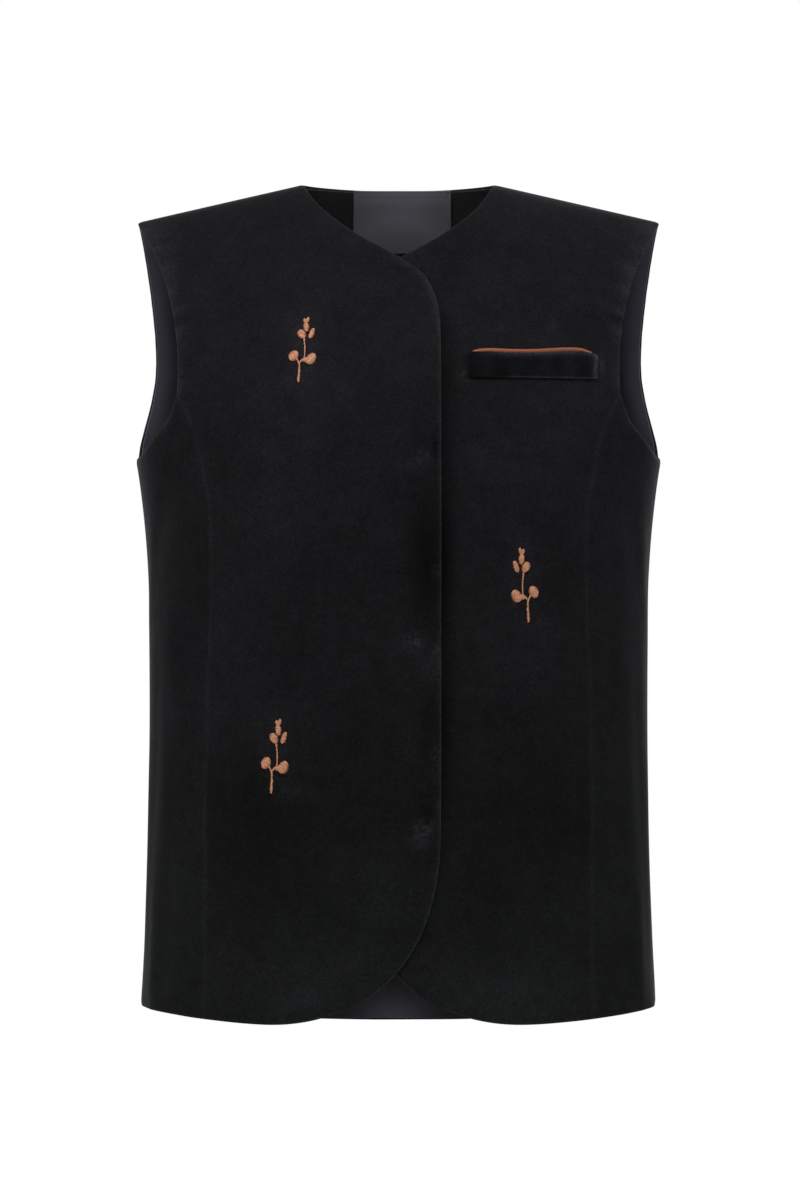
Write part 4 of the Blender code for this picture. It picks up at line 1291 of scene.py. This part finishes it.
def neck_label():
    """The bare label: a turned-in border makes it thicker round its edge, it is stitched at its
    top corners, and it bellies and creases a little between."""
    half = LABEL_HALF_WIDTH / SHOULDER_TIP
    share = -half + 2 * half * row_of(2 * LABEL_HALF_WIDTH, LABEL_CELL)
    foot_arc = np.arccos(1 - (NECK_HEIGHT - LABEL_FOOT_HEIGHT) / SHOULDER_ROUNDING)
    arcs = np.linspace(LINING_TOP_ARC, foot_arc, 44)
    arcs = np.concatenate([arcs[0] + RIM / SHOULDER_DEPTH, arcs[2:-2], arcs[-1] - RIM[::-1] / 0.055])
    share, v = np.meshgrid(share + LABEL_SHIFT / SHOULDER_TIP, arc_share(arcs))
    points, normals = back_form(back_place(share, v))
    d = edge_distances(points)
    to_side = np.minimum(d.left, d.right)
    distance = nearest(to_side, d.top, d.bottom)
    outside = LINING_LAYER[1] - LAYER_GAP
    x = points[..., 0]
    points = points + normals * back_relief(x, points[..., 2])[..., None]
    points[..., 2] += LABEL_TOP_RISE * bell(d.down, 0.006)

    border = 1 - fade(distance - 0.0042, 0.0008)
    belly = fade(to_side, 0.03) * np.sin(np.pi * np.clip(d.down / d.down.max(), 0, 1))
    crease = bell(d.down - 0.0115 - 0.0009 * np.sin(x / 0.013), 0.0013) * fade(to_side, 0.006)
    foot_line = bell(d.bottom - 0.0040, 0.0006)
    corner = np.exp(-(((to_side - 0.003) / 0.004) ** 2 + ((d.down - 0.003) / 0.004) ** 2))
    pulls = corner * np.sin((to_side + d.down) / 0.0009)
    half_wall = (0.00030 + 0.00018 * border) * turned_over(distance, 0.0008)
    rise = 0.0006 * belly + 0.00006 * crease - 0.0003 * foot_line + 0.0002 * pulls
    middle = outside - 0.00045
    inner = middle - half_wall - rise * fade(distance, 0.003)
    label = wall("satin_neck_label", points, normals, middle + half_wall, inner, [label_satin])
    return label, label_stitches(points, normals)


# Trim on the fronts


def laid(x, z, lift, over):
    """Points on a front at these places, moved out by the lift, and their outward normals. What
    lies there follows the front's own creases and, on the upper front, its climb."""
    points, normals = on_form(x, z, "front")
    rise = lift + front_relief(x, z)
    if over:
        rise = rise + lap_lift(x, z)
    return points + normals * np.asarray(rise)[..., None], normals


def pocket():
    """The welt and the satin lip above it, both as walls over the wearer's left front."""
    width, tall = WELT_OUTER - WELT_INNER, WELT_TOP - WELT_BOTTOM
    share = row_of(width, TRIM_CELL)
    from_end = np.minimum(share, 1 - share)
    corner = np.clip(1 - from_end * width / WELT_CORNER, 0, 1)
    top = WELT_TOP - WELT_CORNER_DROP * (1 - np.sqrt(1 - corner**2))
    top = top + smooth(LIP_LINE, share) * fade(from_end * width, 0.012)
    down = row_of(tall, TRIM_CELL)[:, None]
    z = top * (1 - down) + WELT_BOTTOM * down
    x = WELT_INNER + width * share + 0 * z
    over_lip = np.clip((z - WELT_BOTTOM) / (WELT_TOP - LIP_TUCK - WELT_BOTTOM), 0, 1)
    base, normals = laid(x, z, LAYER_GAP + (LIP_CLOTH + LAYER_GAP) * over_lip, over=False)
    d = edge_distances(base)
    to_side = np.minimum(d.left, d.right)
    distance = nearest(to_side, d.top, d.bottom)
    ripple = 0.00025 * np.sin(x / 0.0035 + 1.6 * np.sin(x / 0.011)) * bell(d.bottom, 0.006)
    near = turned_over(distance, WELT_CLOTH)
    middle = WELT_CLOTH / 2 * (1 + flush_share(np.minimum(to_side, d.top), d.bottom) * (1 - near))
    half = WELT_CLOTH / 2 * near
    streaks = 0.28 * np.sin(x / 0.0036 + 2.3 * np.sin(x / 0.017)) * np.sin(z / 0.012 + x / 0.02)
    # painted highlights along the welt's foot, its right end and its top, where its edges turn; and
    # darker towards its lower left
    pile = streaks + 3.6 * edge_light(d.bottom, 0.0008) * fade(d.left - 0.02, 0.02)
    pile += 3.2 * edge_light(d.right - 0.0020, 0.0028) + 0.3 * edge_light(d.left, 0.0014)
    pile += 3.4 * edge_light(d.top, 0.0030) * fade(d.left - 0.006, 0.03)
    pile -= 0.3 * bell(d.left, 0.035) * down
    welt = wall("velvet_pocket_welt", base, normals, middle + half + ripple * fade(distance, 0.001),
                middle - half, [welt_velvet], pile=pile)

    width -= 2 * LIP_INSET
    share = row_of(width, TRIM_CELL)
    top = WELT_TOP + LIP_SHOWS + smooth(LIP_LINE, share)
    tall = LIP_SHOWS + LIP_TUCK
    down = row_of(tall, LIP_CELL)[:, None]
    z = top * (1 - down) + (WELT_TOP - LIP_TUCK) * down
    x = WELT_INNER + LIP_INSET + width * share + 0 * z
    base, normals = laid(x, z, LAYER_GAP, over=False)
    d = edge_distances(base)
    distance = nearest(d.left, d.right, d.top, d.bottom)
    shows = fade(LIP_SHOWS - d.top, 0.001)
    roll = 0.0007 * np.sin(np.pi * np.clip(d.top / LIP_SHOWS, 0, 1)) * shows
    creases = 0.00012 * np.sin((x - 0.6 * z) / 0.0011 + 2 * np.sin(x / 0.008)) * shows
    half = LIP_CLOTH / 2 * turned_over(distance, LIP_CLOTH)
    outer = LIP_CLOTH / 2 + half + (roll + creases) * fade(distance, 0.0006)
    lip = wall("satin_pocket_lip", base, normals, outer, LIP_CLOTH / 2 - half, [lip_satin])
    return welt, lip


def tubes(middles, normals, radii):
    """Round threads along rows of middle points: each ring is the middle plus the radius times a
    circle in the plane of the surface's normal and the direction square to it and the thread."""
    along = np.gradient(middles, axis=1)
    along /= np.maximum(np.linalg.norm(along, axis=-1, keepdims=True), 1e-12)
    side = np.cross(along, normals)
    side /= np.maximum(np.linalg.norm(side, axis=-1, keepdims=True), 1e-12)
    up = np.cross(side, along)
    turn = np.linspace(0, 2 * np.pi, THREAD_SIDES, endpoint=False)
    ring = side[:, :, None] * np.cos(turn)[:, None] + up[:, :, None] * np.sin(turn)[:, None]
    points = middles[:, :, None] + radii[:, :, None, None] * ring
    count, stations = middles.shape[:2]
    number = np.arange(count * stations * THREAD_SIDES).reshape(count, stations, THREAD_SIDES)
    after = np.roll(number, -1, axis=2)
    sides = np.stack([number[:, :-1], after[:, :-1], after[:, 1:], number[:, 1:]], axis=-1)
    first, last = number[:, 0], number[:, -1]
    caps = [first[:, [3, 2, 1, 0]], first[:, [5, 4, 3, 0]],
            last[:, [0, 1, 2, 3]], last[:, [0, 3, 4, 5]]]
    return points.reshape(-1, 3), np.concatenate([sides.reshape(-1, 4), *caps])


def leaf_threads(leaf):
    """Ends of the threads across a leaf, and how wide the leaf is there as a share of its width.
    They lie a pitch apart along the leaf, from one side of the oval to the other, on a slant."""
    long, wide = leaf.half_length - THREAD_RADIUS, leaf.half_width - THREAD_RADIUS
    count = int(2 * long / THREAD_PITCH)
    along = np.linspace(-0.94, 0.94, count) * long
    half = wide * np.sqrt(1 - (along / long) ** 2)
    slant = THREAD_SLANT * half
    lean = np.radians(leaf.lean)
    ends = []
    for side in (-1, 1):
        a, w = np.clip(along + side * slant, -long, long), side * half
        ends.append(np.stack([leaf.across + a * np.cos(lean) - w * np.sin(lean),
                              leaf.up + a * np.sin(lean) + w * np.cos(lean)], axis=-1))
    return ends[0], ends[1], half


def stem_threads(stem):
    """Ends of the short slanted threads that cover a stem: each starts on one side of the stem's
    line and ends on the other, further along it."""
    middle = np.array([(p.across, p.up) for p in stem])
    run = np.concatenate([[0], np.cumsum(np.linalg.norm(np.diff(middle, axis=0), axis=1))])
    at = np.linspace(0, run[-1], int(run[-1] / THREAD_PITCH) + 2)
    line = np.stack([np.interp(at, run, middle[:, k]) for k in (0, 1)], axis=-1)
    half = np.interp(at, run, [p.half_width for p in stem]) - 0.8 * THREAD_RADIUS
    along = np.gradient(line, axis=0)
    along /= np.linalg.norm(along, axis=1, keepdims=True)
    side = np.stack([-along[:, 1], along[:, 0]], axis=-1) * half[:, None]
    slip = along * 0.0004
    return line - side - slip, line + side + slip, half


def sprig(place):
    """One sprig in satin stitch: threads side by side over its leaves and stems, each an arch from
    edge to edge that stands highest over the widest part."""
    over = place.out < 0
    reach = 0.004
    beside_x = place.out + reach * np.array([-1, 1, 0, 0])
    beside_z = place.height + reach * np.array([0, 0, -1, 1])
    beside, _ = laid(beside_x, beside_z, 0, over)
    wide = np.linalg.norm(beside[1] - beside[0]) / (2 * reach)
    tall = np.linalg.norm(beside[3] - beside[2]) / (2 * reach)

    parts = [stem_threads(stem) for stem in SPRIG_STEMS]
    parts += [leaf_threads(leaf) for leaf in SPRIG_LEAVES]
    start, end, half = (np.concatenate([part[k] for part in parts]) for k in range(3))
    count = len(start)
    wobble = np.random.default_rng(7).uniform(-1, 1, (count, 3))
    t = np.linspace(0, 1, THREAD_STATIONS)[None, :, None]
    longer = (end - start) / np.maximum(np.linalg.norm(end - start, axis=1, keepdims=True), 1e-9)
    start = start - THREAD_UNEVEN * wobble[:, :1] * longer
    end = end + THREAD_UNEVEN * wobble[:, 1:2] * longer
    flat = start[:, None] * (1 - t) + end[:, None] * t
    arch = np.sin(np.pi * t[..., 0])
    height = 0.00024 + (0.00025 + 0.22 * np.minimum(half, 0.004))[:, None] * arch**0.7
    height = height + 0.00004 * wobble[:, 2:] * arch
    x = place.out + place.turned * flat[..., 0] / wide
    z = place.height + place.tall * flat[..., 1] / tall
    middles, normals = laid(x, z, height, over)
    radii = THREAD_RADIUS * (0.45 + 0.55 * arch**0.5) + 0 * middles[..., 0]
    points, quads = tubes(middles, normals, radii)
    shade = np.repeat(0.5 + 0.5 * wobble[:, 0], THREAD_STATIONS * THREAD_SIDES)
    crown = np.repeat((arch + 0 * radii).ravel(), THREAD_SIDES)
    return make_piece("threads_" + place.name, points, quads, [coral_thread], shade=shade, crown=crown)


def label_stitches(points, normals):
    """Small stitches that hold the label's top corners: short arches across its side edges."""
    down, across = points.shape[:2]
    rows = np.array([7, 10, 13, 7, 10, 13])
    columns = np.array([6, 6, 6, across - 7, across - 7, across - 7])
    middle, normal = points[rows, columns], normals[rows, columns]
    outward = np.sign(middle[:, :1]) * np.array([[1.0, 0.0, 0.0]])
    t = np.linspace(-1, 1, THREAD_STATIONS)[None, :, None]
    lift = -(VELVET + 2 * LAYER_GAP + LINING + 0.0012) + 0.0006 * t**2
    middles = middle[:, None] + outward[:, None] * (0.0014 * t + 0.0006) + normal[:, None] * lift
    radii = np.full(middles.shape[:2], 0.00018)
    tube, quads = tubes(middles, np.broadcast_to(normal[:, None], middles.shape), radii)
    crown = np.repeat(np.tile(1 - np.abs(t[0, :, 0]), len(rows)), THREAD_SIDES)
    shade = np.full(len(tube), 0.5)
    return make_piece("label_stitches", tube, quads, [dark_thread], shade=shade, crown=crown)


front_trim = {"right": [], "left": list(pocket())}
finished(front_trim["left"][0], "pocket_welt")
finished(front_trim["left"][1], "pocket_lip")
for place in SPRIGS:
    hand = "right" if place.out < 0 else "left"
    front_trim[hand].append(finished(sprig(place), place.name))

for hand, sign, over in (("right", -1, True), ("left", 1, False)):
    hung(centre_front(hand, sign, over), "centre_front_" + hand, front_trim[hand])
    hung(side_front(hand, sign), "side_front_" + hand)
hung(back(), "back")
hung(back_lining(), "back_lining")
hung(neck_facing(), "neck_facing")
label, stitches = neck_label()
hung(label, "neck_label", [finished(stitches)])


# The studio: a white floor well below, even white surroundings and large soft lights


FLOOR_RADIUS = 2.0
FLOOR_HEIGHT = -1.15
LIT_POINT = (0, 0, -0.3)
CAMERA_PLACE = (0.0012, -3.0, -0.320)
CAMERA_LENS = 110.8
Light = namedtuple("Light", "name place size power")
LIGHTS = (
    Light("above", (-0.3, -1.7, 2.6), 1.8, 130),
    Light("left side", (-2.8, -1.2, 0.9), 1.6, 50),
    Light("right side", (2.8, -1.0, 0.7), 1.6, 45),
    Light("behind right", (1.9, 2.9, 1.7), 1.6, 105),
    Light("behind left", (-2.4, 2.4, 1.1), 1.4, 35),
)


def floor():
    """A round pale floor."""
    turn = np.linspace(0, 2 * np.pi, 96, endpoint=False)
    across, deep = FLOOR_RADIUS * np.cos(turn), FLOOR_RADIUS * np.sin(turn)
    ring = np.stack([across, deep, FLOOR_HEIGHT + 0 * turn], axis=-1)
    made, tree, shader, add = new_material("studio floor")
    place = add("ShaderNodeTexCoord").outputs["Object"]
    colour = tinted(add, (0.55, 0.55, 0.55), (0.58, 0.58, 0.58), noise(add, place, 3))
    tree.links.new(colour, shader.inputs["Base Color"])
    set_inputs(shader, {"Roughness": 0.8, "Specular IOR Level": 0.1})
    make_piece("studio_floor", ring, np.arange(96)[None], [made])


def soft_light(light):
    """A large square light that faces the vest's middle."""
    lamp = bpy.data.lights.new(light.name, "AREA")
    lamp.shape, lamp.size, lamp.energy = "SQUARE", light.size, light.power
    made = bpy.data.objects.new(light.name, lamp)
    made.location = light.place
    aim = Vector(LIT_POINT) - Vector(light.place)
    made.rotation_euler = aim.to_track_quat("-Z", "Y").to_euler()
    bpy.context.scene.collection.objects.link(made)


floor()
world = bpy.data.worlds.new("studio")
world.use_nodes = True
world.node_tree.nodes["Background"].inputs["Color"].default_value = (1, 1, 1, 1)
world.node_tree.nodes["Background"].inputs["Strength"].default_value = 1.0
bpy.context.scene.world = world
for light in LIGHTS:
    soft_light(light)

camera_data = bpy.data.cameras.new("camera")
camera_data.sensor_width = 36
camera_data.lens = CAMERA_LENS
camera = bpy.data.objects.new("camera", camera_data)
camera.location = CAMERA_PLACE
camera.rotation_euler = (np.pi / 2, 0, 0)
bpy.context.scene.collection.objects.link(camera)
bpy.context.scene.camera = camera
bpy.context.scene.view_settings.view_transform = "Standard"
